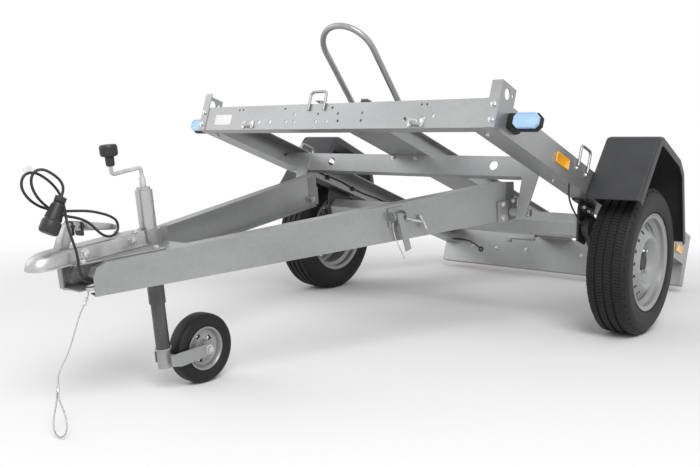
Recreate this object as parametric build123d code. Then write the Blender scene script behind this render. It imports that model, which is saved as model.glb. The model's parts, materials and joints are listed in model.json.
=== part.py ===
from build123d import *
import os
from math import atan2, cos, degrees, hypot, pi, radians, sin, sqrt

# A motorcycle trailer with a tilting bed, parked on its jockey wheel with the bed let down.
# Millimetres. The axle line lies across X, the coupling points to -Y, +Z is up, the floor is z = 0.
# The bed is drawn in its own plane (x across, s rearwards, h upwards) and then tipped.
# The drawbar is drawn with its beams level (x across, a rearwards from the bed pivot, n upwards).

# Whole vehicle
ORIGIN_SHIFT = 496.4            # from the wheel axis back to the middle of the length
RUN = 0.3                       # gap between pieces that lie against each other
STEEL = 3.0                     # common sheet thickness

# Bed
BED_TILT = 18.5
BED_FRONT_Y = -903.5
BED_FRONT_Z = 761.0
BED_HALF_WIDTH = 650.0
BED_LENGTH = 1954.0
RAIL_HEIGHT = 92.0
RAIL_FLANGE = 85.0
EAR_LENGTH = 88.0
EAR_HEIGHT = 147.0
EAR_FLANGE = 35.0
EAR_HOLE_R = 17.0
EAR_SMALL_HOLE_R = 6.0
EAR_HOLE_S = 38.0
EAR_HOLE_H = 116.0
EAR_SMALL_HOLE_S = 72.0
EAR_SMALL_HOLE_H = 122.0

FRONT_BEAM_FLANGE = 40.0
CROSS_S = 510.0                 # front face of the cross beam
CROSS_BOTTOM = -4.0
CROSS_TOP = 70.0
CROSS_FLANGE = 45.0
CROSS_HALF = 530.0
CROSS_HOLE_X = 380.0
CROSS_HOLE_R = 17.0
CROSS_HOLE_H = 35.0

TROUGH_HALF = 92.0              # outside of the trough's walls
TROUGH_WALL = 55.0
TROUGH_LIP = 25.0
TROUGH_FRONT = 50.0

BOARD_DEPTH = 50.0
BOARD_BOTTOM = -102.0
BOARD_TOP = 92.0
BOARD_FLANGE = 40.0
BOARD_HALF = 646.0

HOOP_TUBE_R = 13.0
HOOP_FOOT_S = 245.0
HOOP_FOOT_H = 90.0
HOOP_TOP_S = 0.0
HOOP_TOP_H = 370.0

# Bed pivot, in the bed's plane
PIVOT_S = 525.0
PIVOT_H = -128.0
PIVOT_PIN_R = 8.0
PIN_FIT = 0.06
SLEEVE_R = 15.0
SLEEVE_IN = 475.0
HANGER_OUT = 541.0
HANGER_IN = 506.0

# Axle and wheels
AXLE_S = 865.0
AXLE_H = -90.0
AXLE_FLATS = 84.0
AXLE_HALF = 596.0
PLATE_T = 8.0
ARM_T = 26.0
WHEEL_X = 748.0
TYRE_R = 274.0
TYRE_WIDTH = 155.0
RIM_R = 182.0
RIM_WIDTH = 128.0
BEAD_R = 165.0
BORE_R = 15.0
RIM_SLOTS = 16
WHEEL_BOLTS = 4
BOLT_CIRCLE_R = 49.0

# Mudguards
GUARD_IN = 650.0
GUARD_OUT = 848.0
GUARD_T = 4.0
GUARD_HEM = 34.0

# Drawbar
DRAW_SLOPE = 6.6
BEAM_TOP = 108.0
NOSE_A = -1452.0
NOSE_X = 75.0
NOSE_BOTTOM = 24.0
FOLD_A = -15.0
FOLD_X = 466.0
FOLD_BOTTOM = -28.0
TAIL_A = 42.0
BEAM_FLANGE = 40.0
BEAM_T = 3.0

# Jockey wheel
JACK_A = -1208.0
JACK_OUTER_R = 24.0
JACK_WALL = 3.0
JACK_TOP = 257.0
JACK_OUTER_BOTTOM = -68.0
JACK_INNER_R = 20.5
JACK_INNER_BOTTOM = -262.0
JACK_TRAIL = 138.0
JOCKEY_R = 106.0
JOCKEY_WIDTH = 60.0

os.makedirs("parts", exist_ok=True)

BED = Location((0, BED_FRONT_Y, BED_FRONT_Z), (-BED_TILT, 0, 0))


def bed_point(x, s, h):
    """World position of a point given in the bed's plane."""
    t = radians(BED_TILT)
    return (x, BED_FRONT_Y + s * cos(t) + h * sin(t), BED_FRONT_Z - s * sin(t) + h * cos(t))


PIVOT_X, PIVOT_Y, PIVOT_Z = bed_point(0, PIVOT_S, PIVOT_H)
DRAW = Location((0, PIVOT_Y, PIVOT_Z), (DRAW_SLOPE, 0, 0))
SHIFT = Location((0, ORIGIN_SHIFT, 0))


def block(x0, x1, y0, y1, z0, z1):
    """A box given by its faces."""
    return Pos((x0 + x1) / 2, (y0 + y1) / 2, (z0 + z1) / 2) * Box(abs(x1 - x0), abs(y1 - y0), abs(z1 - z0))


def rod_x(x0, x1, y, z, r):
    return Pos((x0 + x1) / 2, y, z) * Rot(0, 90, 0) * Cylinder(r, abs(x1 - x0))


def rod_y(x, y0, y1, z, r):
    return Pos(x, (y0 + y1) / 2, z) * Rot(90, 0, 0) * Cylinder(r, abs(y1 - y0))


def rod_z(x, y, z0, z1, r):
    return Pos(x, y, (z0 + z1) / 2) * Cylinder(r, abs(z1 - z0))


def sheet_x(points, x0, x1):
    """An outline of (y, z) points, from x0 to x1."""
    face = make_face(Polyline([(0, y, z) for y, z in points], close=True))
    return Pos(x0, 0, 0) * extrude(face, amount=x1 - x0, dir=(1, 0, 0))


def sheet_y(points, y0, y1):
    """An outline of (x, z) points, from y0 to y1."""
    face = make_face(Polyline([(x, 0, z) for x, z in points], close=True))
    return Pos(0, y0, 0) * extrude(face, amount=y1 - y0, dir=(0, 1, 0))


def sheet_z(points, z0, z1):
    """An outline of (x, y) points, from z0 to z1."""
    face = make_face(Polyline([(x, y, 0) for x, y in points], close=True))
    return Pos(0, 0, z0) * extrude(face, amount=z1 - z0, dir=(0, 0, 1))


def mirrored(shape):
    return mirror(shape, about=Plane.YZ)


def channel_outline(web, back, low, high, flange, t):
    """A channel's section: web at x = web, open towards back (+1 or -1)."""
    return [(web, low), (web, high), (web + back * flange, high), (web + back * flange, high - t),
            (web + back * t, high - t), (web + back * t, low + t), (web + back * flange, low + t),
            (web + back * flange, low)]


nodes = {}


def on_bed(name, shape):
    nodes[name] = BED * shape


def on_drawbar(name, shape):
    nodes[name] = DRAW * shape


# Side rails: channels open inwards, with an upstanding ear and a bent flange in front
def side_rail():
    w = BED_HALF_WIDTH
    rail = sheet_y(channel_outline(w, -1, 0, RAIL_HEIGHT, RAIL_FLANGE, STEEL), 0, BED_LENGTH)
    inside = block(w - RAIL_FLANGE - 1, w - STEEL, -1, FRONT_BEAM_FLANGE + RUN, -1, RAIL_HEIGHT + 1)
    rail -= inside
    for start in (0, BED_LENGTH - EAR_LENGTH):
        rail += block(w - STEEL, w, start, start + EAR_LENGTH, RAIL_HEIGHT - 1, EAR_HEIGHT)
    rail += block(w - EAR_FLANGE, w, -STEEL, 0, 0, EAR_HEIGHT)
    rail -= rod_x(w - 10, w + 1, EAR_HOLE_S, EAR_HOLE_H, EAR_HOLE_R)
    rail -= rod_x(w - 10, w + 1, EAR_SMALL_HOLE_S, EAR_SMALL_HOLE_H, EAR_SMALL_HOLE_R)
    rail -= rod_x(w - 10, w + 1, BED_LENGTH - EAR_HOLE_S, EAR_HOLE_H, EAR_HOLE_R)
    return rail


rail_left = side_rail()
on_bed("rail_left", rail_left)
on_bed("rail_right", mirrored(rail_left))


# Front beam: a channel with its web forwards and rows of holes
FRONT_HOLES = [                 # x, h, radius
    (-441, 77, 4), (-421, 77, 4), (-325, 30, 7), (-270, 30, 7), (-205, 76, 5), (-190, 30, 5),
    (-155, 55, 5), (-150, 28, 5), (-45, 55, 5), (-50, 28, 5), (15, 76, 5), (0, 28, 5),
    (45, 55, 5), (50, 28, 5), (150, 55, 5), (150, 28, 5), (325, 30, 7), (380, 78, 4),
    (400, 78, 4), (395, 30, 7), (430, 40, 5),
]


def front_beam():
    half = BED_HALF_WIDTH - STEEL - RUN
    beam = block(-half, half, 0, FRONT_BEAM_FLANGE, 0, RAIL_HEIGHT)
    beam -= block(-half - 1, half + 1, STEEL, FRONT_BEAM_FLANGE + 1, STEEL, RAIL_HEIGHT - STEEL)
    for x, h, r in FRONT_HOLES:
        beam -= rod_y(x, -1, STEEL + 1, h, r)
    return beam


on_bed("front_beam", front_beam())


# Cross beam: a channel with its web forwards, a large hole near each end
def cross_beam():
    half = CROSS_HALF
    beam = block(-half, half, CROSS_S, CROSS_S + CROSS_FLANGE, CROSS_BOTTOM, CROSS_TOP)
    beam -= block(-half - 1, half + 1, CROSS_S + STEEL, CROSS_S + CROSS_FLANGE + 1,
                  CROSS_BOTTOM + STEEL, CROSS_TOP - STEEL)
    for side in (-1, 1):
        beam -= rod_y(side * CROSS_HOLE_X, CROSS_S - 1, CROSS_S + STEEL + 1, CROSS_HOLE_H, CROSS_HOLE_R)
    return beam


on_bed("cross_beam", cross_beam())


# Hangers: folded plates bolted to the cross beam's ends, with the pivot's sleeve at the foot
def hanger():
    plate_s = CROSS_S - 4 - RUN
    inner = BED_HALF_WIDTH - STEEL - RUN
    outline = [(HANGER_IN - 6, CROSS_TOP), (inner, CROSS_TOP), (inner, STEEL + RUN),
               (BED_HALF_WIDTH - RAIL_FLANGE - 2, STEEL + RUN), (HANGER_OUT, PIVOT_H - 22),
               (HANGER_IN, PIVOT_H - 22)]
    plate = sheet_y(outline, plate_s, plate_s + 4)
    sleeve = rod_x(SLEEVE_IN, HANGER_OUT, PIVOT_S, PIVOT_H, SLEEVE_R)
    sleeve -= block(0, 999, plate_s - 30, plate_s, -400, 400)
    web = block(HANGER_IN, HANGER_IN + 4, plate_s + 2, PIVOT_S + 4, PIVOT_H, CROSS_BOTTOM - RUN)
    body = plate + sleeve + web
    return body - rod_x(SLEEVE_IN - 1, HANGER_OUT + 1, PIVOT_S, PIVOT_H, PIVOT_PIN_R + PIN_FIT)


hanger_left = hanger()
on_bed("hanger_left", hanger_left)
on_bed("hanger_right", mirrored(hanger_left))


# Wheel trough: a channel along the middle, with lips turned outwards
def wheel_trough():
    t = STEEL
    base = CROSS_TOP + RUN
    top = base + TROUGH_WALL
    w = TROUGH_HALF
    lip = TROUGH_LIP
    outline = [(-w, base), (w, base), (w, top - t), (w + lip, top - t), (w + lip, top), (w - t, top),
               (w - t, base + t), (-w + t, base + t), (-w + t, top), (-w - lip, top),
               (-w - lip, top - t), (-w, top - t)]
    trough = sheet_y(outline, TROUGH_FRONT, BED_LENGTH - RUN)
    for side in (-1, 1):
        trough -= block(side * w, side * (w + lip + 1), HOOP_FOOT_S - 60, HOOP_FOOT_S + 26, top - t - 1, top + 1)
    return trough


on_bed("wheel_trough", wheel_trough())


# Rear board: a folded panel with end plates, notched where the trough meets it
def rear_board():
    s0 = BED_LENGTH
    s1 = BED_LENGTH + BOARD_DEPTH
    half = BOARD_HALF
    t = STEEL
    outline = [(s0, BOARD_BOTTOM), (s1, BOARD_BOTTOM), (s1, BOARD_BOTTOM + t + 20),
               (s1 - t, BOARD_BOTTOM + t + 20), (s1 - t, BOARD_BOTTOM + t), (s0 + t, BOARD_BOTTOM + t),
               (s0 + t, BOARD_TOP - t), (s1 - t, BOARD_TOP - t), (s1 - t, BOARD_TOP - 60),
               (s1, BOARD_TOP - 60), (s1, BOARD_TOP), (s0, BOARD_TOP)]
    board = sheet_x(outline, -half, half)
    for side in (-1, 1):
        board += block(side * half, side * (half + 4), s0, s1, BOARD_BOTTOM, EAR_HEIGHT)
    notch = TROUGH_HALF + TROUGH_LIP + 4
    board -= block(-notch, notch, s0 - 1, s1 + 1, CROSS_TOP, BOARD_TOP + 1)
    return board


on_bed("rear_board", rear_board())


# Wheel hoop: one bent tube that leans forwards
def wheel_hoop():
    lean = hypot(HOOP_TOP_S - HOOP_FOOT_S, HOOP_TOP_H - HOOP_FOOT_H)
    r = TROUGH_HALF + HOOP_TUBE_R + RUN
    arc = ThreePointArc((-r, 0, lean - r), (0, 0, lean), (r, 0, lean - r))
    wire = Wire([Line((-r, 0, 0), (-r, 0, lean - r)), arc, Line((r, 0, lean - r), (r, 0, 0))])
    tube = sweep(Plane((-r, 0, 0), z_dir=(0, 0, 1)) * Circle(HOOP_TUBE_R), path=wire)
    angle = degrees(atan2(HOOP_TOP_S - HOOP_FOOT_S, HOOP_TOP_H - HOOP_FOOT_H))
    return Pos(0, HOOP_FOOT_S, HOOP_FOOT_H) * Rot(-angle, 0, 0) * tube


on_bed("wheel_hoop", wheel_hoop())


# Tie-down loops of bent rod: one on the front beam, one on each rail
def loop(reach, half, r, bend):
    pts = [(-half, 0, 0), (-half, 0, reach), (half, 0, reach), (half, 0, 0)]
    wire = FilletPolyline(*pts, radius=bend)
    return sweep(Plane((-half, 0, 0), z_dir=(0, 0, 1)) * Circle(r), path=wire)


LOOP_ROD = 5.0
front_loop = Pos(-55, -LOOP_ROD - RUN, RAIL_HEIGHT - 24) * loop(66, 35, LOOP_ROD, 14)
rail_loop = Pos(BED_HALF_WIDTH + LOOP_ROD + RUN, 645, RAIL_HEIGHT - 24) * Rot(0, 0, 90) * loop(76, 42, LOOP_ROD, 14)
on_bed("tie_down_loops", Compound([front_loop, rail_loop, mirrored(rail_loop)]))


# Torsion axle: a six-sided tube, end plates under the rails and trailing arms
def axle_tube():
    hexagon = RegularPolygon(AXLE_FLATS / 2, 6, major_radius=False)
    tube = extrude(Plane.YZ * hexagon, amount=AXLE_HALF, both=True)
    tube -= extrude(Plane.YZ * RegularPolygon(AXLE_FLATS / 2 - 6, 6, major_radius=False), amount=AXLE_HALF + 1, both=True)
    return Pos(0, AXLE_S, AXLE_H) * tube


on_bed("axle_tube", axle_tube())


def axle_plate():
    x0 = AXLE_HALF + RUN
    outline = [(AXLE_S - 72, -RUN), (AXLE_S + 72, -RUN), (AXLE_S + 72, -40), (AXLE_S + 34, AXLE_H - 62),
               (AXLE_S - 34, AXLE_H - 62), (AXLE_S - 72, -40)]
    plate = sheet_x(outline, x0, x0 + PLATE_T)
    plate += block(BED_HALF_WIDTH - RAIL_FLANGE + 4, x0 + 2, AXLE_S - 72, AXLE_S + 72, -6 - RUN, -RUN)
    return plate - rod_x(x0 - 1, x0 + PLATE_T + 1, AXLE_S, AXLE_H, 30)


plate_left = axle_plate()
on_bed("axle_plates", Compound([plate_left, mirrored(plate_left)]))


def to_bed(y, z):
    """Bed coordinates of a point given in the world's side view."""
    t = radians(BED_TILT)
    dy = y - BED_FRONT_Y
    dz = z - BED_FRONT_Z
    return dy * cos(t) - dz * sin(t), dy * sin(t) + dz * cos(t)


WHEEL_S, WHEEL_H = to_bed(0, TYRE_R)


def swing_arm():
    x0 = AXLE_HALF + 2 * RUN + PLATE_T + 5
    boss = rod_x(AXLE_HALF - 60, x0 + ARM_T, AXLE_S, AXLE_H, 29.7)
    hub_end = rod_x(x0, x0 + ARM_T, WHEEL_S, WHEEL_H, 34)
    knuckle = rod_x(x0, x0 + ARM_T, AXLE_S, AXLE_H, 42)
    length = hypot(WHEEL_S - AXLE_S, WHEEL_H - AXLE_H)
    angle = degrees(atan2(WHEEL_H - AXLE_H, WHEEL_S - AXLE_S))
    bar = Pos(x0 + ARM_T / 2, AXLE_S, AXLE_H) * Rot(angle, 0, 0) * Pos(0, length / 2, 0) * Box(ARM_T, length, 62)
    spindle = rod_x(x0 + ARM_T - 1, WHEEL_X + 30, WHEEL_S, WHEEL_H, BORE_R - 0.05)
    return knuckle + hub_end + bar + boss + spindle


arm_left = swing_arm()
on_bed("swing_arm_left", arm_left)
on_bed("swing_arm_right", mirrored(arm_left))


# Mudguards: a facetted arch with a hem along its outer side
GUARD_OUTLINE = [               # y, z of the arch's outside
    (-238, 519), (-60, 734), (-20, 736), (185, 652), (236, 600), (307, 324),
]


def guard_arch():
    """The arch as two walls: a bent strip and the outer hem."""
    inner_points = inset_open(GUARD_OUTLINE, GUARD_T)
    hem_points = inset_open(GUARD_OUTLINE, GUARD_HEM)
    strip = sheet_x(GUARD_OUTLINE + inner_points[::-1], GUARD_IN + RUN, GUARD_OUT)
    hem = sheet_x(GUARD_OUTLINE + hem_points[::-1], GUARD_OUT - GUARD_T, GUARD_OUT)
    seat = sheet_x(GUARD_OUTLINE + hem_points[::-1], GUARD_IN + RUN, GUARD_IN + RUN + GUARD_T)
    return strip + hem + seat


def inset_open(points, t):
    """The points of an open outline moved inwards, to the right of its direction, by t."""
    moved = []
    for i, (y, z) in enumerate(points):
        before = points[max(i - 1, 0)]
        here = points[i]
        after = points[min(i + 1, len(points) - 1)]
        d0 = unit(before, here) if i else unit(here, after)
        d1 = unit(here, after) if i < len(points) - 1 else d0
        n0 = (d0[1], -d0[0])
        n1 = (d1[1], -d1[0])
        k = t / (1 + n0[0] * n1[0] + n0[1] * n1[1])
        moved.append((y + (n0[0] + n1[0]) * k, z + (n0[1] + n1[1]) * k))
    return moved


def unit(p, q):
    length = hypot(q[0] - p[0], q[1] - p[1])
    return ((q[0] - p[0]) / length, (q[1] - p[1]) / length)


guard_left = guard_arch()
nodes["mudguard_left"] = guard_left
nodes["mudguard_right"] = mirrored(guard_left)


# Road wheels: tyre, rim and brake drum turn together on the spindle
def tyre():
    half = TYRE_WIDTH / 2
    seat = RIM_WIDTH / 2 - RUN
    side = [(BEAD_R, seat - 14), (BEAD_R, seat), (RIM_R + 2, seat), (RIM_R + 16, half - 3), (RIM_R + 45, half),
            (TYRE_R - 16, half - 8), (TYRE_R - 5, half - 20), (TYRE_R, half - 34)]
    inside = [(TYRE_R - 10, half - 28), (TYRE_R - 28, half - 10), (RIM_R + 40, half - 9), (RIM_R + 12, seat - 6),
              (RIM_R - 4, seat - 12)]
    half_section = side + [(TYRE_R, 0), (TYRE_R - 10, 0)] + inside
    right = revolve(make_face(Polyline([(x, 0, r) for r, x in half_section], close=True)), Axis.X, 360)
    return right + mirrored(right)


def rim():
    half = RIM_WIDTH / 2
    t = 3.5
    b = BEAD_R - RUN
    well = b - 18
    outside = [(b, -half), (b, -half + 20), (well, -half + 32), (well, half - 52), (b, half - 24), (b, half)]
    lip = [(RIM_R - 2, half), (RIM_R, half + 3), (RIM_R - 3, half + 6), (RIM_R - 6, half + t)]
    inner = [(r - t, x) for r, x in outside]
    inner[0] = (b - t, -half - t)
    inner[-1] = (b - t, half + t)
    far_lip = [(r, -x) for r, x in lip]
    section = far_lip[::-1] + outside + lip + inner[::-1]
    barrel = revolve(make_face(Polyline([(x, 0, r) for r, x in section], close=True)), Axis.X, 360)
    dish = [(38, 10), (60, 10), (86, 40), (100, 42), (well - 1, 10), (well - 1, 4),
            (100, 37), (86, 35), (62, 6), (38, 6)]
    disc = revolve(make_face(Polyline([(x, 0, r) for r, x in dish], close=True)), Axis.X, 360)
    body = barrel + disc
    for i in range(RIM_SLOTS):
        body -= Rot(i * 360 / RIM_SLOTS, 0, 0) * Pos(26, 0, 122) * Rot(0, 90, 0) * Cylinder(7, 60)
    for i in range(WHEEL_BOLTS):
        body -= Rot(45 + i * 360 / WHEEL_BOLTS, 0, 0) * Pos(8, 0, BOLT_CIRCLE_R) * Rot(0, 90, 0) * Cylinder(7, 30)
    return body


def hub():
    drum = rod_x(-52, -14, 0, 0, 88)
    drum += rod_x(-15, 6 - RUN, 0, 0, 70)
    drum += rod_x(0, 36, 0, 0, 36)
    drum += rod_x(35, 44, 0, 0, 30)
    for i in range(WHEEL_BOLTS):
        drum += Rot(45 + i * 360 / WHEEL_BOLTS, 0, 0) * Pos(12, 0, BOLT_CIRCLE_R) * Rot(0, 90, 0) * Cylinder(6.5, 26)
    return drum - rod_x(-60, 31, 0, 0, BORE_R)


for name, side in (("left", 1), ("right", -1)):
    place = Pos(side * WHEEL_X, 0, TYRE_R)
    turn = Rot(0, 0, 0) if side > 0 else Rot(0, 0, 180)
    nodes["tyre_" + name] = place * turn * tyre()
    nodes["rim_" + name] = place * turn * rim()
    nodes["hub_" + name] = place * turn * hub()


# Front position lamps on rubber arms, side reflectors and rear lamps
def front_lamp():
    arm = sheet_z([(650 + RUN, 64), (650 + RUN, 132), (672, 120), (676, 78), (676, 66)], 20, 68)
    back = sheet_y([(676, 26), (690, 12), (748, 12), (762, 26), (762, 52), (748, 66), (690, 66), (676, 52)], 62, 80)
    return arm + back


def front_lens():
    return sheet_y([(680, 27), (692, 16), (746, 16), (758, 27), (758, 51), (746, 62), (692, 62), (680, 51)], 44, 62 - RUN)


lamp = front_lamp()
lens = front_lens()
on_bed("front_lamps", Compound([lamp, mirrored(lamp)]))
on_bed("front_lenses", Compound([lens, mirrored(lens)]))

REFLECTORS = [(430, 530, 30, 66), (1816, 1896, 34, 68)]    # s0, s1, h0, h1
plates = [block(BED_HALF_WIDTH + RUN, BED_HALF_WIDTH + 6, s0, s1, h0, h1) for s0, s1, h0, h1 in REFLECTORS]
on_bed("side_reflectors", Compound(plates + [mirrored(p) for p in plates]))


REAR_LAMP_S = BED_LENGTH + STEEL + RUN
REAR_LAMP_DEPTH = 42.0
REAR_LENS_DEPTH = 12.0


def rear_lamp():
    return block(390, 590, REAR_LAMP_S, REAR_LAMP_S + REAR_LAMP_DEPTH, BOARD_BOTTOM + 30, BOARD_BOTTOM + 110)


lamp = rear_lamp()
s_lens = REAR_LAMP_S + REAR_LAMP_DEPTH + RUN
lens = block(394, 586, s_lens, s_lens + REAR_LENS_DEPTH, BOARD_BOTTOM + 34, BOARD_BOTTOM + 106)
on_bed("rear_lamps", Compound([lamp, mirrored(lamp)]))
on_bed("rear_lenses", Compound([lens, mirrored(lens)]))


# Drawbar beams: tapered channels open inwards, folded parallel at the rear
def drawbar_beam():
    length = hypot(FOLD_X - NOSE_X, FOLD_A - NOSE_A)
    angle = degrees(atan2(FOLD_X - NOSE_X, FOLD_A - NOSE_A))
    place = Pos(NOSE_X, NOSE_A, 0) * Rot(0, 0, -angle)
    side = [(0, NOSE_BOTTOM), (length, FOLD_BOTTOM), (length, BEAM_TOP), (40, BEAM_TOP), (12, BEAM_TOP - 10),
            (0, BEAM_TOP - 34)]
    body = place * sheet_x(side, -BEAM_FLANGE, 0)
    inside = [(-1, NOSE_BOTTOM + BEAM_T), (length + 1, FOLD_BOTTOM + BEAM_T), (length + 1, BEAM_TOP - BEAM_T),
              (40, BEAM_TOP - BEAM_T), (14, BEAM_TOP - 10 - BEAM_T), (-1, BEAM_TOP - 34 - BEAM_T)]
    body -= place * sheet_x(inside, -BEAM_FLANGE - 1, -BEAM_T)
    tail = sheet_x([(FOLD_A, FOLD_BOTTOM), (TAIL_A, FOLD_BOTTOM + 10), (TAIL_A, BEAM_TOP - 8), (FOLD_A, BEAM_TOP)],
                   FOLD_X - BEAM_T, FOLD_X)
    body += tail
    return body - rod_x(FOLD_X - 30, FOLD_X + 1, 0, 0, PIVOT_PIN_R + PIN_FIT)


beam_left = drawbar_beam()
on_drawbar("drawbar_beam_left", beam_left)
on_drawbar("drawbar_beam_right", mirrored(beam_left))


# Pivot plates outside the beams' tails, and the pivot bolts
def pivot_plate():
    t = 5.0
    x0 = FOLD_X + RUN
    angle = atan2(FOLD_X - NOSE_X, FOLD_A - NOSE_A)
    wing = 48.0
    back_x = x0 - wing * sin(angle)
    back_a = FOLD_A - wing * cos(angle)
    plan = [(x0, TAIL_A + 10), (x0, FOLD_A), (back_x, back_a), (back_x + t * cos(angle), back_a - t * sin(angle)),
            (x0 + t, FOLD_A - t * angle / 2), (x0 + t, TAIL_A + 10)]
    plate = sheet_z(plan, -30, 44)
    return plate - rod_x(x0 - 1, x0 + t + 1, 0, 0, PIVOT_PIN_R + PIN_FIT)


plate_left = pivot_plate()
on_drawbar("pivot_plates", Compound([plate_left, mirrored(plate_left)]))


def pivot_bolt():
    x0 = FOLD_X - BEAM_T - 6
    bolt = rod_x(x0, HANGER_OUT + 8, 0, 0, PIVOT_PIN_R)
    bolt += rod_x(x0 - 8, x0 + 6 - RUN, 0, 0, 13)
    bolt += rod_x(HANGER_OUT + 1, HANGER_OUT + 9, 0, 0, 13)
    return bolt


bolt_left = pivot_bolt()
on_drawbar("pivot_bolts", Compound([bolt_left, mirrored(bolt_left)]))


# Coupling: pressed head and sleeve, bolted on a folded plate that lies on the beams' noses
PLATE_FRONT_HALF = 46.0
NOSE_PLATE_T = 4.0
NOSE_FACE_BOTTOM = 39.0
SLEEVE_HALF = 34.0
SLEEVE_TOP = 38.0
COUPLING_BACK = -1246.0
COUPLING_NECK = -1440.0
BALL_A = -1548.0
BALL_R = 25.0
COUPLING_Z = BEAM_TOP + NOSE_PLATE_T + 2 * RUN


def beam_outer_x(a):
    """Outside of the left beam's web at a."""
    return NOSE_X + (a - NOSE_A) * (FOLD_X - NOSE_X) / (FOLD_A - NOSE_A)


def nose_bracket():
    front = NOSE_A - 28
    z0 = BEAM_TOP + RUN
    back_half = beam_outer_x(COUPLING_BACK) - 12
    plan = [(-PLATE_FRONT_HALF, front), (PLATE_FRONT_HALF, front), (back_half, COUPLING_BACK), (-back_half, COUPLING_BACK)]
    plate = sheet_z(plan, z0, z0 + NOSE_PLATE_T)
    face = block(-PLATE_FRONT_HALF, PLATE_FRONT_HALF, front, front + NOSE_PLATE_T, NOSE_FACE_BOTTOM, z0 + NOSE_PLATE_T)
    return plate + face


on_drawbar("nose_bracket", nose_bracket())


def coupling():
    z0 = COUPLING_Z
    sleeve = block(-SLEEVE_HALF, SLEEVE_HALF, COUPLING_NECK - 40, COUPLING_BACK, z0, z0 + SLEEVE_TOP)
    sleeve -= block(-SLEEVE_HALF + 4, SLEEVE_HALF - 4, COUPLING_NECK + 10, COUPLING_BACK + 1, z0 - 1, z0 + SLEEVE_TOP - 4)
    head = Pos(0, BALL_A, z0) * Cylinder(37, 32, align=(Align.CENTER, Align.CENTER, Align.MIN))
    head += Pos(0, BALL_A, z0 + 32) * scale(Sphere(37), by=(1, 1, 0.45))
    head += block(-30, 30, BALL_A, COUPLING_NECK - 20, z0, z0 + SLEEVE_TOP - 2)
    rim = Pos(0, BALL_A, z0) * Cylinder(46, 6, align=(Align.CENTER, Align.CENTER, Align.MIN))
    socket = Pos(0, BALL_A, z0 + 6) * Sphere(BALL_R + 0.5)
    mouth = Pos(0, BALL_A, z0 - 1) * Cylinder(BALL_R + 0.5, 8, align=(Align.CENTER, Align.CENTER, Align.MIN))
    return sleeve + head + rim - socket - mouth


on_drawbar("coupling_head", coupling())


def coupling_lever():
    base = COUPLING_Z + SLEEVE_TOP + RUN
    arm = sheet_x([(-1500, base), (-1470, base), (-1452, base + 40), (-1322, base + 18), (-1318, base + 30),
                   (-1440, base + 64), (-1470, base + 58)], -14, 14)
    return arm


on_drawbar("coupling_lever", coupling_lever())


# Spreader between the beams with the jockey wheel's clamp
def beam_inner_x(a):
    """Inside of the left beam's web at a."""
    slope = (FOLD_X - NOSE_X) / (FOLD_A - NOSE_A)
    return beam_outer_x(a) - BEAM_T * sqrt(1 + slope ** 2)


def jockey_clamp():
    front = JACK_A - 34
    back = JACK_A + 46
    r = JACK_OUTER_R + RUN
    xf = beam_inner_x(front) - 2
    xb = beam_inner_x(back) - 2
    bottom = 40.0
    top = BEAM_TOP - BEAM_T - RUN
    body = sheet_z([(-xf, front), (xf, front), (xb, back), (-xb, back)], bottom, top)
    body -= sheet_z([(-xf + 4, front + 4), (xf - 4, front + 4), (xb - 4, back + 1), (-xb + 4, back + 1)], bottom - 1, top - 4)
    collar = Pos(0, JACK_A, top - 1) * Cylinder(r + 9, 44, align=(Align.CENTER, Align.CENTER, Align.MIN))
    collar += block(-9, 9, JACK_A + r + 2, JACK_A + r + 34, top - 1, top + 43)
    body += collar
    return body - rod_z(0, JACK_A, bottom - 2, top + 60, r)


on_drawbar("jockey_clamp", jockey_clamp())


def jack_outer():
    tube = rod_z(0, JACK_A, JACK_OUTER_BOTTOM, JACK_TOP, JACK_OUTER_R)
    tube -= rod_z(0, JACK_A, JACK_OUTER_BOTTOM - 1, JACK_TOP - 5, JACK_OUTER_R - JACK_WALL)
    tube += rod_z(0, JACK_A, JACK_TOP - 1, JACK_TOP + 8, 19)
    return tube


on_drawbar("jack_outer_tube", jack_outer())


CRANK_REACH = 96.0
CRANK_RISE = 70.0


def crank():
    z0 = JACK_TOP + 8 + RUN
    socket = rod_z(0, JACK_A, z0, z0 + 26, 9)
    pts = [(0, JACK_A, z0 + 20), (0, JACK_A, z0 + 54), (0, JACK_A - CRANK_REACH, z0 + 48),
           (0, JACK_A - CRANK_REACH, z0 + CRANK_RISE)]
    rod = sweep(Plane(pts[0], z_dir=(0, 0, 1)) * Circle(5.5), path=FilletPolyline(*pts, radius=9))
    return socket + rod


on_drawbar("crank", crank())


def crank_knob():
    z0 = JACK_TOP + 8 + RUN + CRANK_RISE + RUN
    profile = [(0, 0), (9, 0), (12, 4), (12, 24), (22, 28), (24, 34), (24, 52), (21, 57), (0, 58)]
    face = make_face(Polyline([(r, 0, z) for r, z in profile], close=True))
    knob = revolve(face, Axis.Z, 360)
    return Pos(0, JACK_A - CRANK_REACH, z0) * knob


on_drawbar("crank_knob", crank_knob())


# Bed latch on the left beam: a bracket with two ears, and an over-centre lever that hangs on its pin
LATCH_A = -500.0
LATCH_N = 72.0
LATCH_PIN_X = 18.0
LATCH_PIN_R = 5.0
LATCH_LEVER = 118.0
LATCH_LEAN = 14.0


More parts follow.
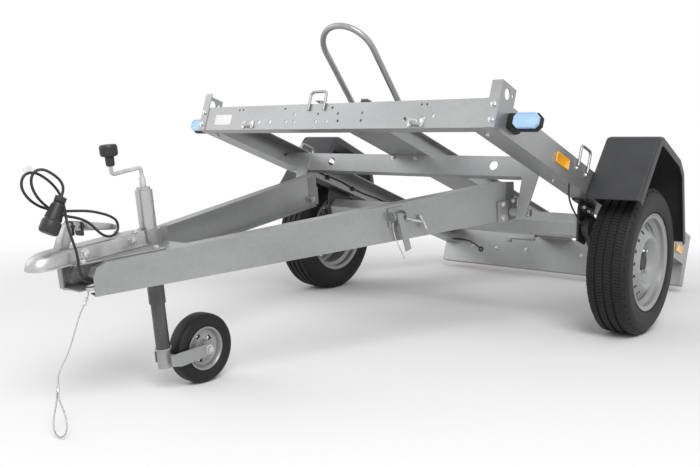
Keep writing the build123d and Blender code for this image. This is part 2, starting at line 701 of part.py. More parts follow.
def latch():
    x = beam_outer_x(LATCH_A)
    angle = degrees(atan2(FOLD_X - NOSE_X, FOLD_A - NOSE_A))
    body = block(RUN, 5, -30, 30, LATCH_N - 34, LATCH_N + 26)
    for side in (-1, 1):
        body += block(4, LATCH_PIN_X, side * 21, side * 26, LATCH_N - 14, LATCH_N + 14)
        body += rod_y(LATCH_PIN_X, side * 21, side * 26, LATCH_N, 14)
    body += rod_y(LATCH_PIN_X, -31, 31, LATCH_N, LATCH_PIN_R)
    body += rod_y(LATCH_PIN_X, -11, 11, LATCH_N, LATCH_PIN_R + 4)
    bar = block(LATCH_PIN_X + 3, LATCH_PIN_X + 8, -11, 11, -LATCH_LEVER, 3)
    body += Pos(0, 0, LATCH_N) * Rot(LATCH_LEAN, 0, 0) * bar
    return Pos(x, LATCH_A, 0) * Rot(0, 0, -angle) * body


on_drawbar("bed_latch", latch())


# Jockey wheel: sliding tube, swivelling fork and wheel
def jack_inner():
    return rod_z(0, JACK_A, JACK_INNER_BOTTOM + 60, JACK_TOP - 90, JACK_INNER_R)


JOCKEY_A = JACK_A + JACK_TRAIL
JOCKEY_N = (JOCKEY_R - PIVOT_Z - JOCKEY_A * sin(radians(DRAW_SLOPE))) / cos(radians(DRAW_SLOPE))


def jockey_fork():
    sleeve = rod_z(0, JACK_A, JACK_INNER_BOTTOM, JACK_INNER_BOTTOM + 59, JACK_INNER_R)
    sleeve += rod_z(0, JACK_A, JACK_INNER_BOTTOM + 55, JACK_INNER_BOTTOM + 60 - RUN, 24)
    half = JOCKEY_WIDTH / 2 + 6
    arms = []
    for side in (-1, 1):
        arms.append(sheet_x([(JACK_A - 4, JOCKEY_N - 8), (JACK_A + 30, JOCKEY_N - 18), (JOCKEY_A + 4, JOCKEY_N - 18),
                             (JOCKEY_A + 18, JOCKEY_N), (JOCKEY_A + 4, JOCKEY_N + 18), (JACK_A + 30, JOCKEY_N + 24),
                             (JACK_A - 4, JOCKEY_N + 24)],
                            side * half, side * (half + 4)))
    bridge = block(-half, half, JACK_A + 4, JACK_A + 10, JOCKEY_N - 8, JOCKEY_N + 24)
    axle = rod_x(-half - 10, half + 10, JOCKEY_A, JOCKEY_N, 8)
    body = sleeve + arms[0] + arms[1] + bridge + axle
    return body


def jockey_tyre():
    half = JOCKEY_WIDTH / 2
    profile = [(66, -half + 8), (66, half - 8), (78, half - 2), (92, half), (102, half - 8), (JOCKEY_R, half - 16),
               (JOCKEY_R, -half + 16), (102, -half + 8), (92, -half), (78, -half + 2)]
    face = make_face(Polyline([(x, 0, r) for r, x in profile], close=True))
    return Pos(0, JOCKEY_A, JOCKEY_N) * revolve(face, Axis.X, 360)


def jockey_rim():
    half = JOCKEY_WIDTH / 2
    r = 66 - RUN
    profile = [(8.06, -22), (20, -22), (20, -8), (44, -5), (r - 6, -half + 14), (r, -half + 6), (r, half - 6),
               (r - 6, half - 14), (44, 5), (20, 8), (20, 22), (8.06, 22)]
    face = make_face(Polyline([(x, 0, radius) for radius, x in profile], close=True))
    body = revolve(face, Axis.X, 360)
    return Pos(0, JOCKEY_A, JOCKEY_N) * body


on_drawbar("jack_inner_tube", jack_inner())
on_drawbar("jockey_fork", jockey_fork())
on_drawbar("jockey_tyre", jockey_tyre())
on_drawbar("jockey_rim", jockey_rim())

for name, shape in nodes.items():
    export_step(SHIFT * shape, "parts/" + name + ".step")
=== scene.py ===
# %% [markdown]
# A motorcycle trailer is mostly bent and galvanised sheet steel, so the pieces that carry it are
# measured parts from a drawing. They come in as a fixed frame that is never moved. This lesson
# gives each of them its finish, and makes the forms that a drawing leaves plain: tyres, rims,
# moulded mudguards, lenses, bolts, the plug and its cables.

# %% Load the frame
import json
from math import atan2, cos, pi, radians, sin

import bmesh
import bpy
from mathutils import Matrix, Vector


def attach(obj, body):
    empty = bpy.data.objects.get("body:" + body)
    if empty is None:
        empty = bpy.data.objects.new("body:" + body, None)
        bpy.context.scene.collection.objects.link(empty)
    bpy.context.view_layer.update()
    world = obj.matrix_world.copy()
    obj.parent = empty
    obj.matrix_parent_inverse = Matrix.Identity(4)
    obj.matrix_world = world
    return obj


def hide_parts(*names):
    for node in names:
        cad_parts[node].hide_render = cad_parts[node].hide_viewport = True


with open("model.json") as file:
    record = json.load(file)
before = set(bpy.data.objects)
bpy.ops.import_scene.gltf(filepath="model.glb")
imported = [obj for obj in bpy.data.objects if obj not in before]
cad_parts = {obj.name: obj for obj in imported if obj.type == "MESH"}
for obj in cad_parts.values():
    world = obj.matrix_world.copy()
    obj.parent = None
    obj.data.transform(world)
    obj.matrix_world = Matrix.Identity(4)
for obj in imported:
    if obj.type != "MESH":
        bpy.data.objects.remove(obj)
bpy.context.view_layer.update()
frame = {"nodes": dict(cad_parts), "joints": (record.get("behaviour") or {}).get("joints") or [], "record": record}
nodes = frame["nodes"]

# %% [markdown]
# Two planes carry nearly everything. The bed lies in one that tips backwards, and the drawbar
# lies in one that rises to the rear. A point on either is easier to name in that plane's own
# directions: across, along and up. Each plane becomes one matrix that hangs on the hinge between
# them.

# %% Places on the bed and on the drawbar
MM = 0.001
BED_TILT = radians(18.5)
DRAW_SLOPE = radians(6.6)
PIVOT_S, PIVOT_H = 525, -128
joints = {j["name"]: j for j in frame["joints"]}
pivot = Vector(joints["bed_tilt"]["pos_m"])
AXLE = Vector(joints["wheel_left_spin"]["pos_m"])
JOCKEY_AXLE = Vector(joints["jockey_spin"]["pos_m"])

DRAW_PLACE = Matrix.Translation((0, pivot.y, pivot.z)) @ Matrix.Rotation(DRAW_SLOPE, 4, "X")
BED_PLACE = Matrix.Translation((0, pivot.y, pivot.z)) @ Matrix.Rotation(-BED_TILT, 4, "X")
BED_PLACE = BED_PLACE @ Matrix.Translation((0, -PIVOT_S * MM, -PIVOT_H * MM))
WORLD_PLACE = Matrix.Identity(4)


def on_bed(x, s, h):
    """A point given in millimetres across, along and above the bed."""
    return BED_PLACE @ Vector((x * MM, s * MM, h * MM))


def on_draw(x, a, n):
    """A point given in millimetres across, along and above the drawbar's beams."""
    return DRAW_PLACE @ Vector((x * MM, a * MM, n * MM))


print("pivot", [round(v, 3) for v in pivot], "axle", [round(v, 3) for v in AXLE])

# %% [markdown]
# The camera stands in front of the trailer and to its left, at about the height of the bed. Its
# place and lens come from the tyres' real size and from how the long edges run together in the
# distance. The small shift puts the trailer off the middle of the picture without turning the
# camera.

# %% Camera
CAMERA_FROM_AXLE = (1.8386, -3.0760, 0.7314)
CAMERA_YAW, CAMERA_PITCH = radians(40.7), radians(8.3)
PICTURE_W, PICTURE_H = 700, 467
FOCAL_PX = 819.4
CENTRE_PX = (317.9, 257.2)

scene = bpy.context.scene
camera = bpy.data.objects.new("camera", bpy.data.cameras.new("camera"))
scene.collection.objects.link(camera)
camera.location = (CAMERA_FROM_AXLE[0], AXLE.y + CAMERA_FROM_AXLE[1], CAMERA_FROM_AXLE[2])
camera.rotation_euler = (pi / 2 - CAMERA_PITCH, 0, CAMERA_YAW)
camera.data.sensor_width = 36
camera.data.lens = FOCAL_PX / PICTURE_W * camera.data.sensor_width
camera.data.shift_x = (PICTURE_W / 2 - CENTRE_PX[0]) / PICTURE_W
camera.data.shift_y = (CENTRE_PX[1] - PICTURE_H / 2) / PICTURE_W
scene.camera = camera
print("lens", round(camera.data.lens, 2),
      "shift", round(camera.data.shift_x, 3), round(camera.data.shift_y, 3))

# %% [markdown]
# A material is a small program of nodes. Written as wires it is hard to read, so one class wraps
# a socket and lets plain arithmetic add the Math nodes. Every other node comes from one method
# that takes its type, its settings and its inputs.

# %% A wrapped socket


class Wire:
    """A node's output socket that can be used in arithmetic."""

    def __init__(self, tree, socket):
        self.tree = tree
        self.socket = socket

    def node(self, kind, inputs=(), out=0, **settings):
        """Any node: settings first, then the values or links of its sockets, by name or number."""
        made = self.tree.nodes.new(kind)
        for name, value in settings.items():
            setattr(made, name, value)
        for key, value in dict(inputs).items():
            if isinstance(value, Wire):
                self.tree.links.new(value.socket, made.inputs[key])
            else:
                made.inputs[key].default_value = value
        return Wire(self.tree, made.outputs[out])

    def math(self, operation, other):
        return self.node("ShaderNodeMath", {0: self, 1: other}, operation=operation)

    def __add__(self, other):
        return self.math("ADD", other)

    def __mul__(self, other):
        return self.math("MULTIPLY", other)

    __radd__ = __add__
    __rmul__ = __mul__

    def step(self, low, high):
        """0 below low, 1 above high, smooth between."""
        return self.node("ShaderNodeMapRange", {0: self, 1: low, 2: high, 3: 0.0, 4: 1.0},
                         interpolation_type="SMOOTHSTEP")

    def blend(self, first, second):
        """The first colour where this value is 0, the second where it is 1."""
        inputs = {"Factor": self}
        for socket, colour in ((6, first), (7, second)):      # the node's colour sockets
            inputs[socket] = colour if isinstance(colour, Wire) else (*colour, 1)
        return self.node("ShaderNodeMix", inputs, out=2, data_type="RGBA")


# %% [markdown]
# Each finish is written as a recipe: a function that takes the point on the surface and returns
# the shader's inputs by name. A number or a colour is the same all over, and a wire changes from
# place to place. Soft noise and bumps are in nearly every recipe, so they get a helper each.

# %% A material from a recipe


def new_material(name, recipe):
    """Makes a material, and lets recipe(point) say what goes into its shader's sockets."""
    material = bpy.data.materials.new(name)
    material.use_nodes = True
    tree = material.node_tree
    shader = tree.nodes["Principled BSDF"]
    coordinates = tree.nodes.new("ShaderNodeTexCoord")
    point = Wire(tree, coordinates.outputs["Object"])
    for key, value in recipe(point).items():
        if isinstance(value, Wire):
            tree.links.new(value.socket, shader.inputs[key])
        elif isinstance(value, tuple):
            shader.inputs[key].default_value = (*value, 1)
        else:
            shader.inputs[key].default_value = value
    return material


def cloud(point, scale, detail=3.0, stretch=(1, 1, 1)):
    """Soft noise between 0 and 1, with its grain size set by scale."""
    placed = point.node("ShaderNodeMapping", {"Vector": point, "Scale": stretch})
    return point.node("ShaderNodeTexNoise", {"Vector": placed, "Scale": scale, "Detail": detail})


def bump(height, strength, distance):
    """A small relief from a height between 0 and 1; distance is its depth in metres."""
    inputs = {"Height": height, "Strength": strength, "Distance": distance}
    return height.node("ShaderNodeBump", inputs)


def height_of(point):
    """How high a point lies above the floor, in metres."""
    return point.node("ShaderNodeSeparateXYZ", {0: point}, out=2)


# %% [markdown]
# Hot-dip galvanised steel is bright zinc that has frozen into flat crystals, and it dulls in soft
# patches. On thin new sheet the crystals are faint, so a cell pattern moves the grey by a few
# percent only. Long soft noise gives the cloudy sheen that runs along rolled sheet, and a fine
# grain breaks up the highlights. Small bolts are brighter, the pressed coupling is a duller zinc,
# and the jack's tube is dark and shiny below the drawbar's height and bright above it.

# %% Galvanised steel and other bright metal


def galvanised(point):
    crystals = point.node("ShaderNodeTexVoronoi", {"Vector": point, "Scale": 110.0}, out="Color")
    crystal = crystals.node("ShaderNodeSeparateColor", {0: crystals})
    patches = cloud(point, 3.5, 4.0, (1.0, 0.6, 1.6))
    grain = cloud(point, 500.0, 2.0)
    shade = 0.80 * patches + 0.08 * crystal + 0.12 * grain
    return {
        "Base Color": shade.step(0.15, 0.85).blend((0.28, 0.283, 0.287), (0.40, 0.403, 0.407)),
        "Metallic": 0.65,
        "Roughness": 0.30 + 0.10 * patches + 0.03 * crystal,
        "Normal": bump(grain * 0.8 + crystal * 0.2, 0.05, 0.0003),
    }


def bright_zinc(point):
    patches = cloud(point, 40.0, 3.0)
    grain = cloud(point, 700.0, 2.0)
    return {
        "Base Color": patches.step(0.3, 0.7).blend((0.50, 0.50, 0.50), (0.66, 0.66, 0.65)),
        "Metallic": 0.85,
        "Roughness": 0.20 + 0.16 * patches,
        "Normal": bump(grain, 0.05, 0.0003),
    }


def pressed_zinc(point):
    patches = cloud(point, 16.0, 4.0)
    grain = cloud(point, 420.0, 2.0)
    return {
        "Base Color": patches.step(0.3, 0.7).blend((0.36, 0.36, 0.36), (0.52, 0.52, 0.515)),
        "Metallic": 0.75,
        "Roughness": 0.27 + 0.16 * patches,
        "Normal": bump(grain + patches * 2.0, 0.07, 0.0005),
    }


def jack_steel(point):
    """Bright above the drawbar's height, and dark and shiny below it."""
    patches = cloud(point, 30.0, 4.0, (1.0, 1.0, 0.3))
    above = height_of(point).step(0.40, 0.44)
    below = patches.blend((0.05, 0.05, 0.05), (0.16, 0.16, 0.16))
    return {
        "Base Color": above.blend(below, (0.48, 0.48, 0.48)),
        "Metallic": 0.85,
        "Roughness": 0.22 + 0.14 * patches,
        "Normal": bump(patches, 0.05, 0.0004),
    }


finish = {}


def add_finishes(recipes):
    """Makes a material for each name, and prints how many nodes it took."""
    for name, recipe in recipes.items():
        finish[name] = new_material(name, recipe)
        print(name, len(finish[name].node_tree.nodes), "nodes")


add_finishes({
    "jack_steel": jack_steel,
    "galvanised_steel": galvanised,
    "zinc_bolt": bright_zinc,
    "zinc_coupling": pressed_zinc,
})

# %% [markdown]
# The black pieces are three different blacks. The mudguards are a grained moulding with a satin
# sheen that lifts to dark grey on top. Rubber is duller and browner. The painted axle is smooth,
# with a faint orange-peel surface.

# %% Black finishes


def grained_moulding(point):
    grain = point.node("ShaderNodeTexVoronoi", {"Vector": point, "Scale": 800.0})
    patches = cloud(point, 8.0)
    return {
        "Base Color": patches.step(0.2, 0.8).blend((0.020, 0.021, 0.023), (0.034, 0.035, 0.038)),
        "Roughness": 0.40 + 0.12 * patches,
        "Normal": bump(grain, 0.22, 0.0004),
    }


def moulded_black(point):
    grain = cloud(point, 600.0, 2.0)
    patches = cloud(point, 20.0)
    return {
        "Base Color": patches.blend((0.012, 0.012, 0.013), (0.026, 0.026, 0.028)),
        "Roughness": 0.38 + 0.16 * grain,
        "Normal": bump(grain, 0.15, 0.0003),
    }


def tyre_black(point):
    grain = cloud(point, 260.0, 3.0)
    patches = cloud(point, 7.0)
    return {
        "Base Color": patches.step(0.2, 0.8).blend((0.006, 0.006, 0.006), (0.012, 0.012, 0.012)),
        "Roughness": 0.46 + 0.20 * grain,
        "Specular IOR Level": 0.35,
        "Normal": bump(grain, 0.18, 0.0005),
    }


def lead_sheath(point):
    grain = cloud(point, 900.0, 2.0)
    return {
        "Base Color": grain.blend((0.010, 0.010, 0.010), (0.018, 0.018, 0.018)),
        "Roughness": 0.34 + 0.14 * grain,
        "Normal": bump(grain, 0.08, 0.0002),
    }


def axle_paint(point):
    peel = cloud(point, 320.0, 2.0)
    dust = cloud(point, 10.0, 4.0)
    return {
        "Base Color": dust.step(0.3, 0.8).blend((0.016, 0.016, 0.017), (0.040, 0.040, 0.042)),
        "Roughness": 0.30 + 0.2 * dust,
        "Normal": bump(peel, 0.10, 0.0004),
    }


add_finishes({
    "mudguard_plastic": grained_moulding,
    "black_plastic": moulded_black,
    "tyre_rubber": tyre_black,
    "jockey_rubber": tyre_black,
    "lamp_rubber": tyre_black,
    "lamp_housing": moulded_black,
    "cord_sheath": lead_sheath,
    "painted_axle_steel": axle_paint,
})

# %% [markdown]
# Silver wheel paint has metal flakes in it, so its gloss sparkles a little. The drum behind the
# wheel is bare iron with a trace of rust. The cable is wound from thin wires, with painted shade
# in the grooves between them and a painted highlight along each wire, and its ferrules are soft
# pressed alloy.

# %% Silver paint, iron, wire and the tag


def silver_paint(point):
    flake = cloud(point, 900.0, 2.0)
    patches = cloud(point, 12.0)
    return {
        "Base Color": patches.blend((0.29, 0.293, 0.297), (0.38, 0.383, 0.387)),
        "Metallic": 0.45,
        "Roughness": 0.32 + 0.1 * flake,
        "Normal": bump(flake, 0.05, 0.0003),
    }


def drum_iron(point):
    rust = cloud(point, 30.0, 5.0)
    grain = cloud(point, 300.0, 2.0)
    return {
        "Base Color": rust.step(0.45, 0.8).blend((0.045, 0.045, 0.047), (0.090, 0.070, 0.058)),
        "Metallic": 0.4,
        "Roughness": 0.48 + 0.2 * rust,
        "Normal": bump(grain + rust, 0.2, 0.0006),
    }


def wire_rope(point):
    strand_relief_and_painted_light = point.node("ShaderNodeTexWave", {"Vector": point, "Scale": 260.0, "Distortion": 0.6},
                         wave_type="BANDS", bands_direction="DIAGONAL")
    return {
        # dark bands are painted shade in the grooves, light bands painted highlights on the wires
        "Base Color": strand_relief_and_painted_light.blend((0.26, 0.26, 0.26), (0.62, 0.62, 0.61)),
        "Metallic": 0.7,
        "Roughness": 0.30 + 0.15 * strand_relief_and_painted_light,
        "Normal": bump(strand_relief_and_painted_light, 0.5, 0.0005),
    }


def tag_paper(point):
    fibre = cloud(point, 300.0, 3.0)
    return {
        "Base Color": fibre.blend((0.74, 0.74, 0.73), (0.86, 0.86, 0.85)),
        "Roughness": 0.5 + 0.1 * fibre,
        "Normal": bump(fibre, 0.05, 0.0002),
    }


add_finishes({
    "rim_paint": silver_paint,
    "hub_iron": drum_iron,
    "wire_rope": wire_rope,
    "ferrule_alloy": bright_zinc,
    "paper_tag": tag_paper,
})

# %% [markdown]
# A lens is moulded with small prisms on its inner side, which catch the light. That light is
# painted into the colour as a grid of brighter and darker squares under a glossy skin. The grid
# is made from two waves multiplied together. The front lenses are clear, and their pale blue is
# a painted reflection of the sky above; the side reflectors are amber and the rear ones red.

# %% Lenses


def prism_lens(dark, bright, pitch):
    """The recipe of a lens between two colours, with a prism grid of the given pitch."""
    def prisms(point, direction):
        return point.node("ShaderNodeTexWave", {"Vector": point, "Scale": pitch},
                          bands_direction=direction, wave_profile="TRI")

    def recipe(point):
        grid = prisms(point, "X") * prisms(point, "Z")
        patches = cloud(point, 30.0)
        return {
            # the prism grid in the colour is painted highlight and shade
            "Base Color": (0.6 * grid + 0.4 * patches).step(0.1, 0.8).blend(dark, bright),
            "Roughness": 0.10 + 0.10 * patches,
            "Coat Weight": 0.5,
            "Normal": bump(grid, 0.12, 0.0006),
        }
    return recipe


add_finishes({
    # the pale blue of the clear lens is a painted reflection of the sky
    "clear_lens": prism_lens((0.33, 0.54, 0.82), (0.44, 0.65, 0.92), 40.0),
    "amber_reflector": prism_lens((0.95, 0.42, 0.001), (1.0, 0.52, 0.002), 70.0),
    "red_lens": prism_lens((0.30, 0.006, 0.006), (0.55, 0.02, 0.015), 60.0),
})

# %% [markdown]
# Every piece of the frame already names the finish that it has on the drawing. Its mesh takes the
# material of that name, apart from four pieces that look different on the real trailer: the arms
# are painted with the axle, and the jack's two tubes are dark at the bottom.

# %% Finishes on the frame's own pieces
OTHER_FINISH = {
    "swing_arm_left": "painted_axle_steel",
    "swing_arm_right": "painted_axle_steel",
    "jack_outer_tube": "jack_steel",
    "jack_inner_tube": "jack_steel",
}
subparts = frame["record"]["subparts"]
for part in subparts:
    part_mesh = nodes[part["node"]].data
    part_mesh.materials.clear()
    part_mesh.materials.append(finish[OTHER_FINISH.get(part["node"], part["material_slot"])])
print("finished", len(subparts), "nodes with", len(finish), "materials")

# %% [markdown]
# The mesh pieces are each built from a few operators: spin for what is round, an outline that is
# extruded for what is pressed or cut, and a bevel for the soft edges that catch the light. These
# helpers work in millimetres, in the plane of the bed or of the drawbar.

# %% Shapes
SAME_POINT = 1e-6               # points closer than this, in metres, are one
X_TO_Z = Matrix.Rotation(-pi / 2, 4, "Y")
Z_TO_X = Matrix.Rotation(pi / 2, 4, "Y")


def bevel_edges(mesh, edges, width, segments=2):
    bmesh.ops.bevel(mesh, geom=list(edges), offset=width * MM, offset_type="OFFSET",
                    affect="EDGES", segments=segments, profile=0.5, material=-1,
                    clamp_overlap=True)


def sharp_edges(mesh, angle=50):
    """The edges whose two faces turn by more than an angle in degrees."""
    return [edge for edge in mesh.edges
            if len(edge.link_faces) == 2 and edge.calc_face_angle(0) > radians(angle)]


def box(low, high, corner=0.0, along=2, corner_steps=1, edge=0.0):
    """A box between two corners. Its edges along one axis can be cut back, the rest softened."""
    mesh = bmesh.new()
    size = [(b - a) * MM for a, b in zip(low, high)]
    middle = Vector([(a + b) / 2 * MM for a, b in zip(low, high)])
    bmesh.ops.create_cube(mesh, size=1,
                          matrix=Matrix.Translation(middle) @ Matrix.Diagonal((*size, 1)))
    if corner:
        upright = [edge for edge in mesh.edges
                   if abs((edge.verts[1].co - edge.verts[0].co).normalized()[along]) > 0.99]
        bevel_edges(mesh, upright, corner, corner_steps)
    if edge:
        bevel_edges(mesh, sharp_edges(mesh), edge)
    return mesh


def pressed(outline, axis, low, high, edge=0.0):
    """An outline across the given axis, thick from low to high along it."""
    mesh = bmesh.new()
    verts = []
    for point in outline:
        corner = list(point)
        corner.insert(axis, low)
        verts.append(mesh.verts.new([value * MM for value in corner]))
    raised = bmesh.ops.extrude_face_region(mesh, geom=[mesh.faces.new(verts)])["geom"]
    move = [0, 0, 0]
    move[axis] = (high - low) * MM
    bmesh.ops.translate(mesh, vec=move,
                        verts=[item for item in raised if isinstance(item, bmesh.types.BMVert)])
    bmesh.ops.recalc_face_normals(mesh, faces=mesh.faces)
    if edge:
        bevel_edges(mesh, sharp_edges(mesh, 20), edge)
    return mesh


def turned(profile, steps):
    """A line of (along, radius) points, spun about the X axis."""
    mesh = bmesh.new()
    line = [mesh.verts.new((along * MM, 0, radius * MM)) for along, radius in profile]
    edges = [mesh.edges.new(pair) for pair in zip(line, line[1:])]
    bmesh.ops.spin(mesh, geom=line + edges, cent=(0, 0, 0), axis=(1, 0, 0), angle=2 * pi,
                   steps=steps, use_merge=True)
    bmesh.ops.remove_doubles(mesh, verts=mesh.verts, dist=SAME_POINT)
    bmesh.ops.recalc_face_normals(mesh, faces=mesh.faces)
    return mesh


def prism(sides, low_radius, high_radius, depth, place):
    """A closed prism or cone about the Z axis of a place, with its middle there."""
    mesh = bmesh.new()
    bmesh.ops.create_cone(mesh, cap_ends=True, segments=sides, radius1=low_radius * MM,
                          radius2=high_radius * MM, depth=depth * MM, matrix=place)
    return mesh


def facing(point, direction):
    """A place whose Z axis points along direction."""
    turn = Vector(direction).to_track_quat("Z", "Y")
    return Matrix.Translation(point) @ turn.to_matrix().to_4x4()


def moved(mesh, place):
    mesh.transform(place)
    return mesh


def mirrored_x(mesh):
    return moved(mesh, Matrix.Diagonal((-1, 1, 1, 1)))


def joined(shapes):
    """One mesh from several, which are used up."""
    whole = bmesh.new()
    for shape in shapes:
        carrier = bpy.data.meshes.new("carrier")
        shape.to_mesh(carrier)
        shape.free()
        whole.from_mesh(carrier)
        bpy.data.meshes.remove(carrier)
    return whole


# %% [markdown]
# A spun shape is a set of rings of faces. Picking a ring by its radius, or every few faces of it
# by their turn round the axis, is all that ribs, slots and holes need. Raised faces are inset
# first, so that a thin border stays between them.

# %% Picking and raising faces


def across_of(face):
    """How far a face's middle lies along the X axis, in millimetres."""
    return face.calc_center_median().x / MM


def radius_of(face):
    """How far a face's middle lies from the X axis, in millimetres."""
    return face.calc_center_median().yz.length / MM


def turn_of(face):
    """How far round the X axis a face lies, from -pi to pi."""
    middle = face.calc_center_median()
    return atan2(middle.y, middle.z)


def some_of(faces, every, wanted):
    """The first few wanted faces of every so many, counted round the X axis."""
    return [face for i, face in enumerate(sorted(faces, key=turn_of)) if i % every < wanted]


def raise_faces(mesh, faces, inset, height):
    """Insets faces one by one and moves each along its normal, out or in."""
    bmesh.ops.inset_individual(mesh, faces=faces, thickness=inset * MM, depth=0)
    for face in bmesh.ops.extrude_discrete_faces(mesh, faces=faces)["faces"]:
        bmesh.ops.translate(mesh, vec=face.normal * height * MM, verts=face.verts)


# %% [markdown]
# A shape becomes a piece when it has a name, a finish and a body to ride on. Its normals are
# turned outwards, and every fold over a limit stays crisp while the rest is shaded smooth. An
# open sheet keeps the side that it was given, because its wall grows from that side. A piece that
# stands for one of the frame's own names it, and that one is hidden.


def riding(piece, body, look, replaces=()):
    """Puts a piece in the scene with its material and its body, and hides the nodes it stands for."""
    piece.data.materials.append(finish[look])
    scene.collection.objects.link(piece)
    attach(piece, body)
    for node in replaces:
        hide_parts(node)
    return piece


def finished(name, mesh, body, look, place=WORLD_PLACE, replaces=(), fold=32,
             open_sheet=False):
    """Makes a piece of a mesh, which is used up. Folds over that many degrees stay crisp."""
    mesh.transform(place)
    if not open_sheet:
        bmesh.ops.recalc_face_normals(mesh, faces=mesh.faces)
    for face in mesh.faces:
        face.smooth = True
    for edge in mesh.edges:
        edge.smooth = len(edge.link_faces) == 2 and edge.calc_face_angle(0) < radians(fold)
    data = bpy.data.meshes.new(name)
    mesh.to_mesh(data)
    mesh.free()
    return riding(bpy.data.objects.new(name, data), body, look, replaces)


def add_wall(piece, thickness, offset=-1):
    """Gives an open sheet its wall, inwards from its first side, or to both sides for 0."""
    wall = piece.modifiers.new("wall", "SOLIDIFY")
    wall.thickness, wall.offset = thickness * MM, offset


# %% [markdown]
# The two cords come before everything else, because they bend freely and have to hang true. The
# black lead leaves the beam's nose, stands up, folds over the coupling and is held by ties on the
# lever. Its plug sits upright beside the lever. A cord is one NURBS spline that a few points pull
# into shape, so it bends evenly and never looks like bent wire.

# %% A cord's curve


def tube_line(name, points, diameter):
    """A round tube along a spline with the given control points."""
    curve = bpy.data.curves.new(name, "CURVE")
    curve.dimensions = "3D"
    spline = curve.splines.new("NURBS")
    spline.points.add(len(points) - 1)
    for control, point in zip(spline.points, points):
        control.co = (*point, 1)
    spline.order_u = 3
    spline.use_endpoint_u = True
    curve.bevel_depth = diameter * MM / 2
    curve.bevel_resolution = 5
    curve.resolution_u = 10
    curve.use_fill_caps = True
    return bpy.data.objects.new(name, curve)


# %% Electric lead
LEAD_DIAMETER = 7.0
LEAD_ROUTE = [                  # x, a, n, from the guide to the plug's gland
    (63.2, -1434.6, 60), (57.8, -1454, 60), (56, -1472, 73), (56, -1477, 100),
    (54, -1474, 136), (50, -1478, 169), (42, -1480, 199), (30, -1476, 226),
    (14, -1466, 252), (3, -1463, 278), (-2, -1471, 304), (-5, -1493, 332),
    (-8, -1522, 353), (-10, -1550, 350), (-11, -1562, 322), (-9, -1548, 288),
    (-8, -1514, 260), (-7, -1462, 243), (-1, -1414, 236), (6, -1386, 230),
    (14, -1363, 221), (19, -1342, 211), (22, -1323, 196), (24, -1321, 175),
    (26, -1335, 159), (29, -1356, 157.5), (31, -1377, 166), (30, -1394, 184),
    (27, -1410, 206), (20, -1434, 222), (11, -1468, 233), (4, -1500, 255),
    (3, -1524, 281), (4, -1539, 309), (7, -1543, 336), (11, -1532, 357),
    (19, -1512, 359), (28, -1494, 345), (36, -1479, 326), (40, -1475.6, 304),
    (40, -1486, 287.5),
]
lead_points = [on_draw(*point) for point in LEAD_ROUTE]
lead = riding(tube_line("electric_lead", lead_points, LEAD_DIAMETER), "drawbar", "cord_sheath")
print("lead", len(LEAD_ROUTE), "points")

# %% [markdown]
# The plug is a turned moulding: a hexagonal gland nut, a ribbed grip that widens, and a wide cap.
# The outline is spun, and every second face of the grip is pushed out into a rib.

# %% Plug
PLUG_PROFILE = [(0, 0), (0, 8), (1, 11), (16, 12), (19, 15), (24, 16), (60, 21), (63, 21),
                (67, 24.5), (70, 25), (92, 25), (96, 23), (98, 20), (98, 0)]
GRIP_LOW, GRIP_HIGH = 24, 60
PLUG_GAP = 0.3                  # between the lead's end and the gland
GLAND_RADIUS, GLAND_DEPTH, GLAND_MIDDLE = 16.5, 14, 8.5

plug_axis = (lead_points[-1] - lead_points[-2]).normalized()
plug_place = facing(lead_points[-1] + plug_axis * PLUG_GAP * MM, plug_axis) @ X_TO_Z
grip = turned(PLUG_PROFILE, 48)
grip_faces = [face for face in grip.faces if GRIP_LOW < across_of(face) < GRIP_HIGH]
raise_faces(grip, some_of(grip_faces, 2, 1), 0.3, 1.2)
gland = prism(6, GLAND_RADIUS, GLAND_RADIUS, GLAND_DEPTH,
              Matrix.Translation((GLAND_MIDDLE * MM, 0, 0)) @ Z_TO_X)
bevel_edges(gland, sharp_edges(gland), 0.8)
plug = finished("trailer_plug", joined([grip, gland]), "drawbar", "black_plastic", plug_place)
print("plug", len(plug.data.vertices), "points")

# %% [markdown]
# Small things keep the lead in its place. A paper tag is folded round it near the top of its
# loop, a moulded guide holds it where it leaves the beam, and two ties strap it to the coupling's
# lever. The beams run together towards the nose, so what sits on them needs a place that is
# turned with them.

# %% Tag, guide and ties
NOSE_X, NOSE_A = 75, -1452      # the left beam's nose, at its outer face
FOLD_X, FOLD_A = 466, -15       # where the beams fold parallel
BEAM_TURN = atan2(FOLD_X - NOSE_X, FOLD_A - NOSE_A)
NOSE_PLACE = DRAW_PLACE @ Matrix.Translation((NOSE_X * MM, NOSE_A * MM, 0))
NOSE_PLACE = NOSE_PLACE @ Matrix.Rotation(-BEAM_TURN, 4, "Z")
TIES = [(-1452, 213), (-1425, 207)]     # a, n of the lever's back under each tie

tag_start, tag_end = lead_points[13], lead_points[12]
tag_run = (tag_end - tag_start).normalized()
tag_side = Vector((1, 0, 0)).cross(tag_run).normalized()
tag_place = Matrix((tag_run, tag_run.cross(tag_side), tag_side)).transposed().to_4x4()
tag_place.translation = (tag_start + tag_end) / 2
tag_mesh = box((-13, -0.4, 3.6), (13, 0.4, 16.6), corner=2.0, along=1, corner_steps=3)
tag = finished("lead_tag", tag_mesh, "drawbar", "paper_tag", tag_place)

